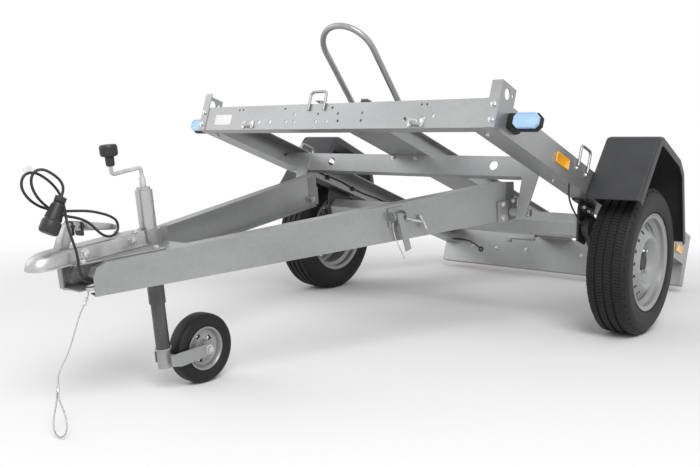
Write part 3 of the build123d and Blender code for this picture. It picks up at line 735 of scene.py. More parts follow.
guide_mesh = box((-29.3, 14, 46), (-3.3, 50, 74), corner=4, along=1, corner_steps=2, edge=1.0)
finished("lead_guide", guide_mesh, "drawbar", "black_plastic", NOSE_PLACE)
ties = []
for a, n in TIES:
    band = box((-17.5, a - 2, n - 34), (17.5, a + 2, n + 3.5), corner=5, along=1, corner_steps=2)
    knot = box((14, a - 4, n - 14), (21, a + 4, n - 6), edge=1.2)
    ties += [band, knot]
finished("lead_ties", joined(ties), "drawbar", "black_plastic", DRAW_PLACE)
print("lead's tag, guide and", len(TIES), "ties")

# %% [markdown]
# The breakaway cable is a wire rope that pulls the brake or snaps tight if the coupling lets go.
# It hangs from a lug in the beam's nose, goes through two pressed ferrules, and closes on itself
# in a loop that a hook can take. It rests with its loop a little above the floor.

# %% Breakaway cable


def unit(*parts):
    return Vector(parts).normalized()


def by_axle(x, y, z):
    """A point in millimetres whose y counts from the road wheels' axle line."""
    return Vector((x * MM, AXLE.y + y * MM, z * MM))


CABLE_DIAMETER = 4.0
FERRULE = 21.6
FERRULE_PROFILE = [(0.3, 2), (0.3, 3.6), (1.6, 4.6), (7, 4.6), (8, 4.0), (13.6, 4.0),
                   (14.6, 4.6), (20, 4.6), (21.3, 3.6), (21.3, 2)]
LEG_APART = 2.3                 # from the ferrule's middle to each leg of the loop

first_way, second_way = unit(-0.177, -0.395, -0.902), unit(0.2, -0.2, -0.96)
upper = Vector((57.7, -1906.4, 327.7))
lower = Vector((59.7, -2001, 123.9))
split = lower + second_way * FERRULE
apart = unit(0.945, 0.318, 0.063) * LEG_APART
first_leg, second_leg = split - apart, split + apart
CABLE_ROUTE = [
    Vector((59.292, -1903.881, 344.754)), upper - first_way * 9,
    upper, upper + first_way * FERRULE, upper + first_way * (FERRULE + 30),
    Vector((51.5, -1944, 240)), Vector((54.5, -1966, 193)),
    lower - second_way * 28, lower, split, first_leg, first_leg + second_way * 14,
    Vector((67, -2014, 72)), Vector((70, -2022, 52)), Vector((76, -2029, 33)),
    Vector((84.5, -2033, 17)), Vector((98, -2033, 7)), Vector((112, -2030, 6)),
    Vector((121, -2025, 13)), Vector((122, -2020, 27)), Vector((113, -2015, 46)),
    Vector((97, -2011, 65)), Vector((81, -2009, 79)),
    second_leg + second_way * 12, second_leg,
]
cable_points = [by_axle(*point) for point in CABLE_ROUTE]
cable = riding(tube_line("breakaway_cable", cable_points, CABLE_DIAMETER), "drawbar",
               "wire_rope")
ferrules = []
for start, way in ((upper, first_way), (lower, second_way)):
    ferrule_place = facing(by_axle(*start), way) @ X_TO_Z
    ferrules.append(moved(turned(FERRULE_PROFILE, 20), ferrule_place))
sleeves = finished("breakaway_ferrules", joined(ferrules), "drawbar", "ferrule_alloy")
lug = box((-21.4, -18, 40.5), (-3.3, 12, 50), corner=3, along=2, corner_steps=2, edge=0.8)
finished("cable_anchor", lug, "drawbar", "zinc_bolt", NOSE_PLACE)
print("cable", len(CABLE_ROUTE), "points")

# %% [markdown]
# A road tyre is spun from half an outline and its mirror. The tread is four ribs round the tyre
# with grooves between them. Each rib is a ring of faces: every face is inset and pushed outwards,
# which leaves a thin cut on each side of it, and turning the points by how far out they lie
# slants the cuts.

# %% Road tyres
WHEEL_X = 748
TYRE_STEPS = 144
TYRE_HALF_OUTLINE = [
    (4, 269), (26, 268.9), (34, 268.7), (57, 266.5), (61, 263.5), (68.5, 256.5), (73.5, 247),
    (76.3, 236), (76.9, 232), (76.3, 230), (77.2, 221), (76.8, 212), (75, 204), (75.2, 201),
    (73.4, 197), (73.6, 192), (70.5, 187), (66, 184.5), (64.5, 179), (63.7, 165), (50, 165),
]
RIBS = [(4, 26), (34, 57)]
TREAD_FLOOR, TREAD_DEPTH = 261.5, 5
SIPE_HALF = 1.1                 # half the width of a cut between two blocks
SIPE_SLANT = 0.9                # turn round the tyre for each metre out from its middle
SHOULDER, SHOULDER_FLOOR = (61, 68.5), 256
SCOOP_INSET, SCOOP_DEPTH = 0.6, 1.6


def tyre_mesh():
    mirror = [(-x, r) for x, r in reversed(TYRE_HALF_OUTLINE)]
    mesh = turned(mirror + TYRE_HALF_OUTLINE, TYRE_STEPS)
    tread = [face for face in mesh.faces if radius_of(face) > TREAD_FLOOR
             and any(low < abs(across_of(face)) < high for low, high in RIBS)]
    raise_faces(mesh, tread, SIPE_HALF, TREAD_DEPTH)
    for vert in mesh.verts:
        vert.co.rotate(Matrix.Rotation(abs(vert.co.x) * SIPE_SLANT, 3, "X"))
    shoulder = [face for face in mesh.faces if radius_of(face) > SHOULDER_FLOOR
                and SHOULDER[0] < abs(across_of(face)) < SHOULDER[1]]
    raise_faces(mesh, some_of(shoulder, 6, 2), SCOOP_INSET, -SCOOP_DEPTH)
    return mesh


wheel_places = {
    "left": Matrix.Translation((WHEEL_X * MM, AXLE.y, AXLE.z)),
    "right": Matrix.Translation((-WHEEL_X * MM, AXLE.y, AXLE.z)) @ Matrix.Rotation(pi, 4, "Z"),
}
for side, wheel_place in wheel_places.items():
    finished("road_tyre_" + side, tyre_mesh(), "wheel_" + side, "tyre_rubber", wheel_place,
             ["tyre_" + side], fold=28)
print("tyres", TYRE_STEPS, "steps,", len(RIBS) * 2, "ribs")

# %% [markdown]
# The rim is pressed from sheet, so it is spun as two open lines: the barrel, from lip to lip
# across the well, and the dish, from the barrel to the hub. The dish's sixteen slots are faces
# that are left out, two steps of every eight, and Solidify gives both sheets their thickness.

# %% Rims
RIM_STEPS, RIM_SHEET = 128, 3.2
RIM_BARREL = [(-69.5, 181.5), (-70, 179), (-67, 176), (-64.3, 171), (-64, 164.6), (-44, 163),
              (-34, 147.5), (30, 147.5), (36, 148.5), (50, 162), (64, 164.6), (64.3, 171),
              (67, 176), (70, 179), (69.5, 181.5)]
RIM_DISH = [(32, 146.8), (33, 143), (36, 138), (42.5, 129.5), (53, 114.5), (59, 106), (62, 101),
            (63, 95), (62, 89), (58, 83.5), (49, 76), (38, 67), (33, 63), (31, 59), (31, 38)]
SLOT_BAND = (114.5, 129.5)
SLOT_EVERY, SLOT_STEPS = 8, 2


def rim_mesh():
    """The dish and the barrel, each with its first side outwards."""
    dish = turned(RIM_DISH, RIM_STEPS)
    band = [face for face in dish.faces if SLOT_BAND[0] < radius_of(face) < SLOT_BAND[1]]
    bmesh.ops.delete(dish, geom=some_of(band, SLOT_EVERY, SLOT_STEPS), context="FACES")
    flattest = max(dish.faces, key=lambda face: abs(face.normal.x))
    if flattest.normal.x < 0:
        bmesh.ops.reverse_faces(dish, faces=dish.faces)
    barrel = turned(RIM_BARREL, RIM_STEPS)
    innermost = min(barrel.faces, key=radius_of)
    if innermost.normal.dot(innermost.calc_center_median()) > 0:
        bmesh.ops.reverse_faces(barrel, faces=barrel.faces)
    return joined([dish, barrel])


print("rim slots", RIM_STEPS // SLOT_EVERY)

# %% [markdown]
# Four nuts hold each wheel. Each is a bevelled hexagon on a cone that seats in the dish. With
# them both wheels are complete, and the right one is the left one turned round.

# %% Wheel nuts and both wheels
NUT_CIRCLE, NUT_SEAT = 49, 31
NUT_RADIUS, NUT_DEPTH = 10, 14
COLLAR_LOW, COLLAR_HIGH, COLLAR_DEPTH = 12.5, 10.5, 4


def wheel_nut(turn):
    seat = Matrix.Rotation(turn, 4, "X") @ Matrix.Translation((NUT_SEAT * MM, 0, NUT_CIRCLE * MM))
    nut = prism(6, NUT_RADIUS, NUT_RADIUS, NUT_DEPTH,
                seat @ Matrix.Translation((NUT_DEPTH / 2 * MM, 0, 0)) @ Z_TO_X)
    bevel_edges(nut, sharp_edges(nut), 1.4)
    collar = prism(24, COLLAR_LOW, COLLAR_HIGH, COLLAR_DEPTH,
                   seat @ Matrix.Translation((COLLAR_DEPTH / 2 * MM, 0, 0)) @ Z_TO_X)
    return [nut, collar]


for side, wheel_place in wheel_places.items():
    road_rim = finished("road_rim_" + side, rim_mesh(), "wheel_" + side, "rim_paint",
                        wheel_place, ["rim_" + side], open_sheet=True)
    add_wall(road_rim, RIM_SHEET)
    nuts = []
    for quarter in range(4):
        nuts += wheel_nut(pi / 4 + quarter * pi / 2)
    finished("wheel_nuts_" + side, joined(nuts), "wheel_" + side, "zinc_bolt", wheel_place)
print("nuts on a circle of", NUT_CIRCLE, "mm")

# %% [markdown]
# Each mudguard is one moulding: a facetted arch with a hem turned down on both sides. Its outline
# is swept across the wheel, every fold is bevelled so that it shines along its length, and
# Solidify makes the wall.

# %% Mudguards
RAIL_FACE = 650.3               # just off the rail's outer face
GUARD_OUTLINE = [(-238, 245), (-60, 460), (-20, 462), (185, 378), (236, 326), (307, 50)]
GUARD_IN, GUARD_OUT, GUARD_HEM, GUARD_WALL = RAIL_FACE, 848, 34, 4
FOLD_BEVEL, FOLD_STEPS = 12, 4


def inset_line(points, depth):
    """The points of an open outline, moved to the right of its direction."""
    inside = []
    for i, here in enumerate(points):
        before = zip(points[max(i - 1, 0):i + 1], points[max(i, 1):i + 2])
        ways = [Vector(b) - Vector(a) for a, b in before]
        sides = [Vector((way.y, -way.x)).normalized() for way in ways]
        lean = (sides[0] + sides[-1]) / 2
        inside.append(Vector(here) + lean * depth / lean.length_squared)
    return inside


def mudguard_mesh():
    """The left guard as an open sheet, with its first side outwards."""
    mesh = bmesh.new()
    arch = [Vector(point) for point in GUARD_OUTLINE]
    hem = inset_line(GUARD_OUTLINE, GUARD_HEM)
    rows = []
    for x, points in ((GUARD_IN, hem), (GUARD_IN, arch), (GUARD_OUT, arch), (GUARD_OUT, hem)):
        rows.append([mesh.verts.new((x * MM, AXLE.y + y * MM, AXLE.z + z * MM))
                     for y, z in points])
    for row, beside in zip(rows, rows[1:]):
        for corners in zip(row, row[1:], beside[1:], beside):
            mesh.faces.new(corners)
    bmesh.ops.recalc_face_normals(mesh, faces=mesh.faces)
    if max(mesh.faces, key=lambda face: face.calc_center_median().z).normal.z < 0:
        bmesh.ops.reverse_faces(mesh, faces=mesh.faces)
    bevel_edges(mesh, sharp_edges(mesh, 2), FOLD_BEVEL, FOLD_STEPS)
    return mesh


for side in ("left", "right"):
    guard_mesh = mudguard_mesh()
    if side == "right":
        mirrored_x(guard_mesh)
        bmesh.ops.reverse_faces(guard_mesh, faces=guard_mesh.faces)
    guard = finished("moulded_guard_" + side, guard_mesh, "bed", "mudguard_plastic",
                     replaces=["mudguard_" + side], fold=40, open_sheet=True)
    add_wall(guard, GUARD_WALL)
print("mudguards", len(GUARD_OUTLINE) - 1, "panels each")

# %% [markdown]
# The front position lamps sit out on soft black arms. Each is an eight-sided housing with a lens
# that steps in behind a flat edge. The side reflectors are flat plates with a raised edge, and
# the rear lamps have three fields each. Both sides of the trailer have the same, so each group is
# made twice and one of the two is mirrored.

# %% Lamps and reflectors
REFLECTORS = [(430, 530, 30, 66), (1816, 1896, 34, 68)]     # s from and to, h from and to
FIELDS = [(394, 456.5), (458.5, 521.5), (523.5, 586)]       # x from and to
OUT_X, FRONT_Y, REAR_Y = (0, 1), (1, -1), (1, 1)            # an axis and a direction along it


def stepped_lens(low, high, corner, border, step, side):
    """A lens block whose outer face steps back inside a flat border."""
    axis, sign = side
    mesh = box(low, high, corner=corner, along=axis)
    outwards = Vector((0, 0, 0))
    outwards[axis] = sign
    face = max(mesh.faces, key=lambda f: f.normal.dot(outwards) * f.calc_area())
    bmesh.ops.inset_region(mesh, faces=[face], thickness=border * MM, depth=0)
    made = bmesh.ops.extrude_face_region(mesh, geom=[face])["geom"]
    inner = next(item for item in made if isinstance(item, bmesh.types.BMFace))
    bmesh.ops.translate(mesh, vec=outwards * -step * MM, verts=inner.verts)
    bmesh.ops.delete(mesh, geom=[face], context="FACES_ONLY")       # where it started from
    bevel_edges(mesh, sharp_edges(mesh), 0.7)
    return mesh


def front_arm():
    arm = pressed([(RAIL_FACE, 64), (RAIL_FACE, 132), (672, 120), (677, 78), (677, 66)],
                  2, 20, 68, edge=3)
    return [arm, box((676, 62.2, 12), (762, 80, 66), corner=14, along=1, edge=2)]


def front_lens():
    return [stepped_lens((680, 44, 16), (758, 61.7, 62), 11.5, 5, 1.6, FRONT_Y)]


def side_plates():
    return [stepped_lens((RAIL_FACE, s0, h0), (656, s1, h1), 2, 3, 0.8, OUT_X)
            for s0, s1, h0, h1 in REFLECTORS]


def rear_housing():
    return [box((390, 1957.3, -72), (590, 1999.3, 8), corner=10, along=1, corner_steps=3, edge=2)]


def rear_fields():
    return [stepped_lens((x0, 1999.6, -68), (x1, 2011.6, 4), 4, 3, 0.6, REAR_Y)
            for x0, x1 in FIELDS]


for name, shapes_of, look, node in (
        ("lamp_arms", front_arm, "lamp_rubber", "front_lamps"),
        ("lamp_lenses", front_lens, "clear_lens", "front_lenses"),
        ("amber_plates", side_plates, "amber_reflector", "side_reflectors"),
        ("rear_lamp_housings", rear_housing, "lamp_housing", "rear_lamps"),
        ("rear_lamp_fields", rear_fields, "red_lens", "rear_lenses")):
    both = shapes_of() + [mirrored_x(shape) for shape in shapes_of()]
    finished(name, joined(both), "bed", look, BED_PLACE, [node])
    print(name, "on both sides")

# %% [markdown]
# The hoop that holds the motorcycle's front wheel is one bent tube that leans forwards over the
# front beam. A Bezier spline draws its two straight legs and the half circle between them with
# five points. It is turned into a mesh at the end, because a mesh is measured by its own points.

# %% Wheel hoop
HOOP_HALF, HOOP_TUBE = 105.3, 21
HOOP_FOOT, HOOP_TOP = Vector((340, 127)), Vector((-50, 352))    # s, h
KAPPA = 0.5523                  # handle length of a quarter circle, for a radius of one
LEG_HANDLE = 30


def on_hoop(x, back):
    """A point on the hoop's plane, a distance back from its top."""
    s, h = HOOP_TOP + (HOOP_FOOT - HOOP_TOP).normalized() * back
    return on_bed(x, s, h)


def tube_piece(name, tube, body, look, replaces=()):
    """Turns a curve object into a mesh piece."""
    data = bpy.data.meshes.new_from_object(tube)
    bpy.data.objects.remove(tube)
    for face in data.polygons:
        face.use_smooth = True
    return riding(bpy.data.objects.new(name, data), body, look, replaces)


leg = (HOOP_FOOT - HOOP_TOP).length
bend = HOOP_HALF * KAPPA
hoop_stops = [                  # across, back, and the handles before and after
    ((-HOOP_HALF, leg), (0, LEG_HANDLE), (0, -LEG_HANDLE)),
    ((-HOOP_HALF, HOOP_HALF), (0, LEG_HANDLE), (0, -bend)),
    ((0, 0), (-bend, 0), (bend, 0)),
    ((HOOP_HALF, HOOP_HALF), (0, -bend), (0, LEG_HANDLE)),
    ((HOOP_HALF, leg), (0, -LEG_HANDLE), (0, LEG_HANDLE)),
]
hoop_curve = bpy.data.curves.new("hoop_tube", "CURVE")
hoop_curve.dimensions = "3D"
hoop_spline = hoop_curve.splines.new("BEZIER")
hoop_spline.bezier_points.add(len(hoop_stops) - 1)
for stop, ((x, back), before, after) in zip(hoop_spline.bezier_points, hoop_stops):
    stop.co = on_hoop(x, back)
    stop.handle_left = on_hoop(x + before[0], back + before[1])
    stop.handle_right = on_hoop(x + after[0], back + after[1])
hoop_curve.bevel_depth = HOOP_TUBE / 2 * MM
hoop_curve.bevel_resolution = 6
hoop_curve.resolution_u = 16
hoop_curve.use_fill_caps = True
hoop_line = bpy.data.objects.new("hoop_line", hoop_curve)
tube_piece("hoop_tube", hoop_line, "bed", "galvanised_steel", ["wheel_hoop"])
print("hoop", round(leg), "mm long")

# %% [markdown]
# Two strap eyes are riveted to the front beam: a foot on each side, and a hooked bar between them
# that a strap goes round. A small blank plate lies flat on the beam beside them.

# %% Strap eyes and a blank plate
EYES = [(-378, 22), (372, 20)]  # x, h
EYE_HOOK = [(-0.2, -14), (-20, -10), (-26, -2), (-22, 4), (-17, -4), (-0.2, -8)]    # s, h
eyes = []
for x, h in EYES:
    for inner in (x - 30, x + 14):
        eyes.append(box((inner, -4, h - 16), (inner + 16, -0.2, h + 12), corner=5, along=1,
                        corner_steps=3, edge=0.8))
    eyes.append(pressed([(s, h + up) for s, up in EYE_HOOK], 0, x - 14, x + 14, edge=1))
finished("strap_eyes", joined(eyes), "bed", "zinc_bolt", BED_PLACE)
finished("bare_label", box((-566, -0.9, 20), (-476, -0.2, 60), edge=0.2), "bed", "paper_tag",
         BED_PLACE)
print("strap eyes", len(EYES))

# %% [markdown]
# The jockey wheel is a solid rubber tyre on a dished steel disc with round holes, spun like the
# road wheel but plain. The disc is two thin sheets that are pressed together, each the mirror of
# the other.

# %% Jockey wheel
JOCKEY_OUTLINE = [(0, 106), (12, 105.8), (20, 104.5), (26, 101), (29.3, 95), (30, 90),
                  (29, 82), (25.5, 74), (22, 68), (22, 66)]
JOCKEY_DISH = [(23.5, 65.6), (24, 62), (20, 58.5), (9, 56), (6, 52), (5.5, 44), (5.5, 32),
               (7, 25), (14, 21), (22, 20), (22, 8.1)]
JOCKEY_SHEET = 2
HOLE_BAND = (32, 44)
HOLE_EVERY, HOLE_STEPS = 12, 4

jockey_place = Matrix.Translation((0, JOCKEY_AXLE.y, JOCKEY_AXLE.z))
jockey_line = [(-x, r) for x, r in reversed(JOCKEY_OUTLINE)] + JOCKEY_OUTLINE[1:]
finished("jockey_rubber", turned(jockey_line, 72), "jockey_wheel", "jockey_rubber",
         jockey_place, ["jockey_tyre"], fold=40)
dishes = []
for side in (1, -1):
    dish = turned([(x * side, r) for x, r in JOCKEY_DISH], 60)
    band = [face for face in dish.faces if HOLE_BAND[0] < radius_of(face) < HOLE_BAND[1]]
    bmesh.ops.delete(dish, geom=some_of(band, HOLE_EVERY, HOLE_STEPS), context="FACES")
    dishes.append(dish)
disc = finished("jockey_disc", joined(dishes), "jockey_wheel", "rim_paint", jockey_place,
                ["jockey_rim"], fold=40)
add_wall(disc, JOCKEY_SHEET, 0)
print("jockey wheel at", [round(v, 3) for v in JOCKEY_AXLE])

# %% [markdown]
# Bolts hold nearly every joint of the trailer, and their washers make small bright rings. One
# helper makes a bolt with its washer, hexagonal or domed, in one of a few sizes. Each list gives
# places that the photograph shows, and the mirrored side has the same.

# %% A bolt
BOLT_SIZES = {                  # across the flats, height of the head, washer
    "lamp": (10, 4, 14), "guard": (13, 5, 18), "trough": (13, 3, 20), "beam": (13, 6, 20),
    "plate": (13, 6, 22), "under": (13, 7, 22), "pivot": (15, 5, 22), "coupling": (17, 7, 26),
    "hanger": (17, 9, 28), "fork": (19, 8, 30),
}
WASHER = 1.8                    # thickness
DOME = 0.75                     # how much narrower a domed head is on top


def bolt(point, direction, size, domed=False):
    """A bolt's head on its washer, standing on a point."""
    across, head, washer = BOLT_SIZES[size]
    place = facing(point, direction)
    ring = prism(24, washer / 2, washer / 2, WASHER,
                 place @ Matrix.Translation((0, 0, WASHER / 2 * MM)))
    wide = across / 2 if domed else across / 2 / cos(pi / 6)
    cap = prism(20 if domed else 6, wide, wide * (DOME if domed else 1), head,
                place @ Matrix.Translation((0, 0, (WASHER + head / 2) * MM)))
    top = [edge for edge in sharp_edges(cap, 40)
           if all((place.inverted() @ vert.co).z > head * MM for vert in edge.verts)]
    bevel_edges(cap, top, head / 4)
    return joined([ring, cap])


# %% Bolts on the bed
BED_TURN = BED_PLACE.to_3x3()
FORWARD, UP, DOWN = Vector((0, -1, 0)), Vector((0, 0, 1)), Vector((0, 0, -1))
HANGER_FACE = 604.3
bed_bolts = []
for side in (1, -1):
    out = Vector((side, 0, 0))
    for x, h in ((633.7, 71), (635.4, 23.3)):
        bed_bolts.append(bolt(on_bed(side * x, -3, h), BED_TURN @ FORWARD, "beam"))
    for s in (54, 544):
        bed_bolts.append(bolt(on_bed(side * 600, s, 0), BED_TURN @ DOWN, "under"))
    for s, h in ((875, -27), (828, -24), (902, -24)):
        bed_bolts.append(bolt(on_bed(side * HANGER_FACE, s, h), out, "hanger"))
    for x, s in ((674, 84), (667, 104)):
        bed_bolts.append(bolt(on_bed(side * x, s, 44), out, "lamp"))
    for s in (603, 687):
        bed_bolts.append(bolt(on_bed(side * 650, s, 60), out, "guard", domed=True))
    for x, h in ((474, -9), (327, -10), (152, -5)):
        bed_bolts.append(bolt(on_bed(side * x, 1954, h), BED_TURN @ FORWARD, "plate"))
for x in (-66, 40):
    bed_bolts.append(bolt(on_bed(x, 510, 58), BED_TURN @ FORWARD, "beam"))
for s in (90, 540, 1200, 1800):
    for x in (-60, 60):
        bed_bolts.append(bolt(on_bed(x, s, 73.3), BED_TURN @ UP, "trough", domed=True))
print("bolts", len(bed_bolts), "on the bed")
finished("bed_bolts", joined(bed_bolts), "bed", "zinc_bolt")

# %% [markdown]
# The beams of the drawbar fold where they turn parallel, so a pair of bolts on each side of the
# fold faces a slightly different way. The first pair is placed along the turned part of the beam.

# %% Bolts on the drawbar and the fork
DRAW_TURN = DRAW_PLACE.to_3x3()
WING_OUT = Vector((cos(BEAM_TURN), -sin(BEAM_TURN), 0))
PLATE_X, PLATE_A = 471.6, -16   # the pivot plate's outer face at the fold
draw_bolts = []
for side in (1, -1):
    out = Vector((side, 0, 0))
    wing = DRAW_TURN @ Vector((side * WING_OUT.x, WING_OUT.y, 0))
    for along, n in ((-22, 32), (-24, -16)):
        x, a = PLATE_X + along * sin(BEAM_TURN), PLATE_A + along * cos(BEAM_TURN)
        draw_bolts.append(bolt(on_draw(side * x, a, n), wing, "pivot", domed=True))
    for a, n in ((24, 34), (26, -14)):
        draw_bolts.append(bolt(on_draw(side * 471.3, a, n), DRAW_TURN @ out, "pivot", domed=True))
    for a in (-1440, -1290):
        draw_bolts.append(bolt(on_draw(side * 34, a, 132), DRAW_TURN @ out, "coupling"))
for x, a in ((-20, -1300), (20, -1272)):
    draw_bolts.append(bolt(on_draw(x, a, 150.6), DRAW_TURN @ UP, "plate"))
for x, a in ((-41.76, -1454), (41.76, -1454), (-96, -1262), (96, -1262)):
    draw_bolts.append(bolt(on_draw(x, a, 112.3), DRAW_TURN @ UP, "beam"))
print("bolts", len(draw_bolts), "on the drawbar")
finished("drawbar_bolts", joined(draw_bolts), "drawbar", "zinc_bolt")
fork_nuts = [bolt(Vector((side * 40 * MM, JOCKEY_AXLE.y, JOCKEY_AXLE.z)), (side, 0, 0), "fork")
             for side in (1, -1)]
finished("fork_nuts", joined(fork_nuts), "jockey_fork", "zinc_bolt")

# %% [markdown]
# The coupling is pressed from sheet: a rounded head with a flat rim below, which runs back into a
# square sleeve. Its upper shell is a row of arches that pass from round to square, joined into
# one skin. One number says how square an arch is: 2 gives an ellipse, and more pushes its
# shoulders out.

# %% Coupling head
BALL_A, PLATE_TOP = -1548, 112.6
HEAD_SECTIONS = [               # a, half width, height, how square
    (-1586, 4, 6, 2), (-1584, 16, 16, 2), (-1577, 26, 27, 2.1), (-1565, 33, 35, 2.2),
    (-1548, 37, 40, 2.4), (-1525, 37.5, 42, 2.6), (-1500, 36, 42, 3.2), (-1478, 34.5, 39.5, 5),
    (-1462, 34, 38, 9), (-1246, 34, 38, 9),
]
ARCH_STEPS = 24
FLANGE_R, FLANGE_HALF, FLANGE_STEPS, FLANGE_SHEET = 46, 44, 20, 4


def arch_of(a, half, height, square):
    """The points of one arch, from its left foot over to its right one."""
    points = []
    for step in range(ARCH_STEPS + 1):
        turn = pi * step / ARCH_STEPS
        side = 1 if turn < pi / 2 else -1
        x = half * side * abs(cos(turn)) ** (2 / square)
        rise = height * sin(turn) ** (2 / square) if 0 < step < ARCH_STEPS else 0
        points.append((x * MM, a * MM, (PLATE_TOP + rise) * MM))
    return points


head = bmesh.new()
arches = [[head.verts.new(point) for point in arch_of(*section)] for section in HEAD_SECTIONS]
for arch, beside in zip(arches, arches[1:]):
    for corners in zip(arch, arch[1:], beside[1:], beside):
        head.faces.new(corners)
head.faces.new(arches[0])
head.faces.new(arches[-1])
flange_turns = [pi * step / FLANGE_STEPS for step in range(FLANGE_STEPS + 1)]
flange_line = [(FLANGE_R * cos(turn), BALL_A - FLANGE_R * sin(turn) + 7.5)
               for turn in flange_turns]
flange_line += [(-FLANGE_HALF, -1470), (-FLANGE_HALF, -1246), (FLANGE_HALF, -1246),
                (FLANGE_HALF, -1470)]
flange = pressed(flange_line, 2, PLATE_TOP, PLATE_TOP + FLANGE_SHEET, edge=1)
finished("coupling_shell", joined([head, flange]), "drawbar", "zinc_coupling", DRAW_PLACE,
         ["coupling_head"], fold=40)
print("coupling", len(HEAD_SECTIONS), "arches")

# %% [markdown]
# The coupling stands on a folded bracket between the beams: a plate that widens to the rear, a
# narrow post on one side, and a sole below. Between them it is hollow.

# %% Nose bracket
bracket = [
    pressed([(-46, -1480), (46, -1480), (119, -1246), (-119, -1246)], 2, 108.3, 112.3, edge=0.8),
    box((-46, -1480, 39), (-28, -1466, 108.5), corner=5, along=2, corner_steps=3, edge=1),
    box((-46, -1466, 39), (-42, -1440, 108.5)),
    box((-46, -1478, 39), (46, -1440, 43), edge=1),
]
finished("nose_plate", joined(bracket), "drawbar", "galvanised_steel", DRAW_PLACE,
         ["nose_bracket"])
print("bracket's folds at the coupling")

# %% [markdown]
# The coupling's lever is cut from thick strip with a soft edge, so it shines along its back. It
# keeps the outline of the frame's own piece.

# %% Coupling lever
LEVER_OUTLINE = [(-1500, 150.9), (-1470, 150.9), (-1458, 168), (-1452, 190.9), (-1440, 189),
                 (-1322, 168.9), (-1318, 180.9), (-1334, 188), (-1440, 214.9), (-1458, 213),
                 (-1470, 208.9), (-1484, 184)]
LEVER_HALF = 14
lever = pressed(LEVER_OUTLINE, 0, -LEVER_HALF, LEVER_HALF, edge=2.2)
finished("lever_body", lever, "drawbar", "zinc_coupling", DRAW_PLACE, ["coupling_lever"], fold=40)
print("lever", LEVER_HALF * 2, "mm wide")

# %% [markdown]
# The bed latch hangs on its pin beside the beam. A bent rod handle runs back from it along the
# beam, and a thin spring pin holds it. The wiring is clipped along the rail and crosses the rear
# board. Rods and clipped wires can't bend freely. They are drawn as splines like the cords, and
# become meshes.

# %% Latch handle and wiring
LATCH_ALONG = (-500 - NOSE_A) / cos(BEAM_TURN)
LATCH_RODS = [                  # diameter, then points: out, along from the latch, n
    ("latch_handle", 9, [(12, -28, 73), (14, 20, 66), (15, 60, 48), (15, 104, 36)]),
    ("latch_grip", 10, [(8, 96, 58), (14, 104, 40), (20, 112, 12)]),
    ("latch_pin", 3.5, [(30, -34, 58), (33, -40, 30), (31, -12, -30), (28, 6, -66)]),
]
WIRE_DIAMETER = 6
WIRES = [                       # points: x, s, h
    ("wire_side", [(640, 590, -1), (640, 598, -40), (640, 648, -73), (640, 725, -97),
                   (625, 800, -100)]),
    ("wire_board", [(-645, 1930, 8), (-600, 1940, 22), (-520, 1950, 22), (-470, 1950, 6),
                    (-428, 1951, -18)]),
    ("wire_rail", [(-644, 500, 60), (-642, 760, 46), (-643, 900, 58), (-642, 1060, 44),
                   (-643, 1300, 60), (-645, 1800, 60)]),
]


def on_nose(out, along, n):
    """A point off the left beam's outer face, along it from its nose."""
    return NOSE_PLACE @ Vector((out * MM, along * MM, n * MM))


def rod(name, points, diameter, look, body):
    """A bent rod or a clipped wire, as a mesh made from a spline."""
    line = tube_line(name, points, diameter)
    line.data.bevel_resolution = 3
    return tube_piece(name, line, body, look)


for name, diameter, points in LATCH_RODS:
    rod(name, [on_nose(out, LATCH_ALONG + along, n) for out, along, n in points], diameter,
        "zinc_bolt", "drawbar")
for name, points in WIRES:
    rod(name, [on_bed(*point) for point in points], WIRE_DIAMETER, "cord_sheath", "bed")
print("rods", len(LATCH_RODS), "wires", len(WIRES))

# %% [markdown]
# Black clips hold the wire against the rail, a rubber grommet takes it through the rear board,
# and a small cut bracket on the board carries the rest.

# %% Clips, grommet and bracket
CLIPS = (640, 812, 1011, 1400)  # s
GROMMET_PROFILE = [(0, 6), (3, 6), (5, 9), (5, 13), (2, 15), (0, 15)]
BOARD_FACE = 1954
clips = [box((-647, s - 8, 36), (-637, s + 8, 56), corner=3, along=1, corner_steps=2)
         for s in CLIPS]
grommet_place = Matrix.Translation((-420 * MM, BOARD_FACE * MM, -24 * MM))
grommet = moved(turned(GROMMET_PROFILE, 24), grommet_place @ Matrix.Rotation(-pi / 2, 4, "Z"))
finished("wiring_clips", joined(clips + [grommet]), "bed", "black_plastic", BED_PLACE)
cable_bracket = pressed([(-266, 65), (-113, 65), (-113, 50), (-246, 50), (-246, 33), (-266, 33)],
                        1, 1949, 1953.8, edge=0.8)
finished("cable_bracket", cable_bracket, "bed", "galvanised_steel", BED_PLACE)
print("clips", len(CLIPS))

# %% [markdown]
# A plain floor catches the shadow. Its own colour is close to white, and further out it fades
# into the white that the camera sees behind everything, so that no edge shows.

# %% Floor
FLOOR_HALF = 30                 # metres
FADE_NEAR, FADE_FAR = 1.6, 3.6  # metres from the middle of the trailer

floor_mesh = bmesh.new()
bmesh.ops.create_grid(floor_mesh, x_segments=2, y_segments=2, size=FLOOR_HALF)
floor_data = bpy.data.meshes.new("floor")
floor_mesh.to_mesh(floor_data)
floor_mesh.free()
floor = bpy.data.objects.new("floor", floor_data)
scene.collection.objects.link(floor)


def pale_floor(point):
    return {
        "Base Color": cloud(point, 2.0).blend((0.94, 0.94, 0.94), (0.96, 0.96, 0.96)),
        "Roughness": 0.9,
        "Specular IOR Level": 0.1,
    }


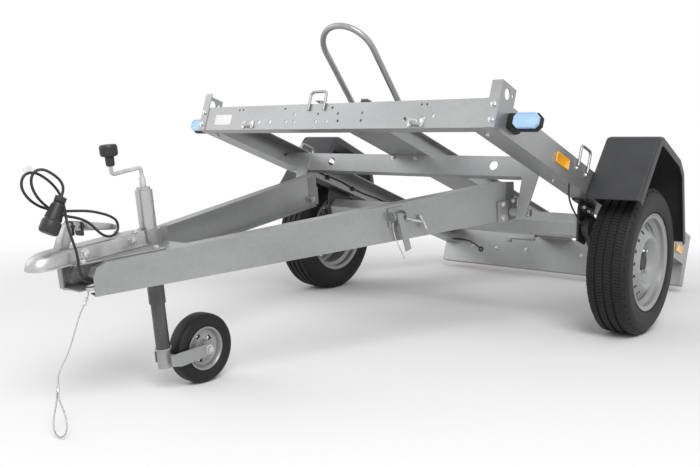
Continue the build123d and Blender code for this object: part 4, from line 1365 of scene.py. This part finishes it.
floor_look = new_material("floor", pale_floor)
floor_data.materials.append(floor_look)
floor_tree = floor_look.node_tree
lit = Wire(floor_tree, floor_tree.nodes["Principled BSDF"].outputs[0])
coordinates = next(node for node in floor_tree.nodes if node.type == "TEX_COORD")
floor_point = Wire(floor_tree, coordinates.outputs["Object"])
distance = floor_point.node("ShaderNodeVectorMath", {0: floor_point}, out="Value",
                            operation="LENGTH")
white = floor_point.node("ShaderNodeEmission", {"Color": (1, 1, 1, 1), "Strength": 1.0})
fade = floor_point.node("ShaderNodeMixShader",
                        {0: distance.step(FADE_NEAR, FADE_FAR), 1: lit, 2: white})
floor_tree.links.new(fade.socket, floor_tree.nodes["Material Output"].inputs["Surface"])
print("floor fades from", FADE_NEAR, "to", FADE_FAR, "m")

# %% [markdown]
# The world is white only to rays from the camera and from mirror-like surfaces, and lights the
# rest a little less. Two large soft lamps, one on each side of the camera, give the shapes their
# shading.

# %% World and lights
WORLD_LIGHT, WORLD_SEEN = 0.52, 1.0
LAMP_TARGET = Vector((0, 0, 0.4))

world = bpy.data.worlds.new("world")
scene.world = world
world.use_nodes = True
sky = world.node_tree
sky.nodes.clear()
rays = sky.nodes.new("ShaderNodeLightPath")
seen = Wire(sky, rays.outputs["Is Camera Ray"])
for kind in ("Is Glossy Ray", "Is Transmission Ray"):
    seen = seen.math("MAXIMUM", Wire(sky, rays.outputs[kind]))
lighting = seen.node("ShaderNodeBackground", {"Color": (1, 1, 1, 1), "Strength": WORLD_LIGHT})
backdrop = seen.node("ShaderNodeBackground", {"Color": (1, 1, 1, 1), "Strength": WORLD_SEEN})
mixed = seen.node("ShaderNodeMixShader", {0: seen, 1: lighting, 2: backdrop})
sky_out = sky.nodes.new("ShaderNodeOutputWorld")
sky.links.new(mixed.socket, sky_out.inputs["Surface"])


def soft_light(name, place, watts, size):
    lamp = bpy.data.lights.new(name, "AREA")
    lamp.energy, lamp.size = watts, size
    holder = bpy.data.objects.new(name, lamp)
    holder.location = place
    holder.rotation_euler = (LAMP_TARGET - Vector(place)).to_track_quat("-Z", "Y").to_euler()
    scene.collection.objects.link(holder)


soft_light("key", (3.5, -3.5, 4.5), 230, 3)
soft_light("fill", (-4, -3, 3), 60, 4)
scene.view_settings.view_transform = "Standard"
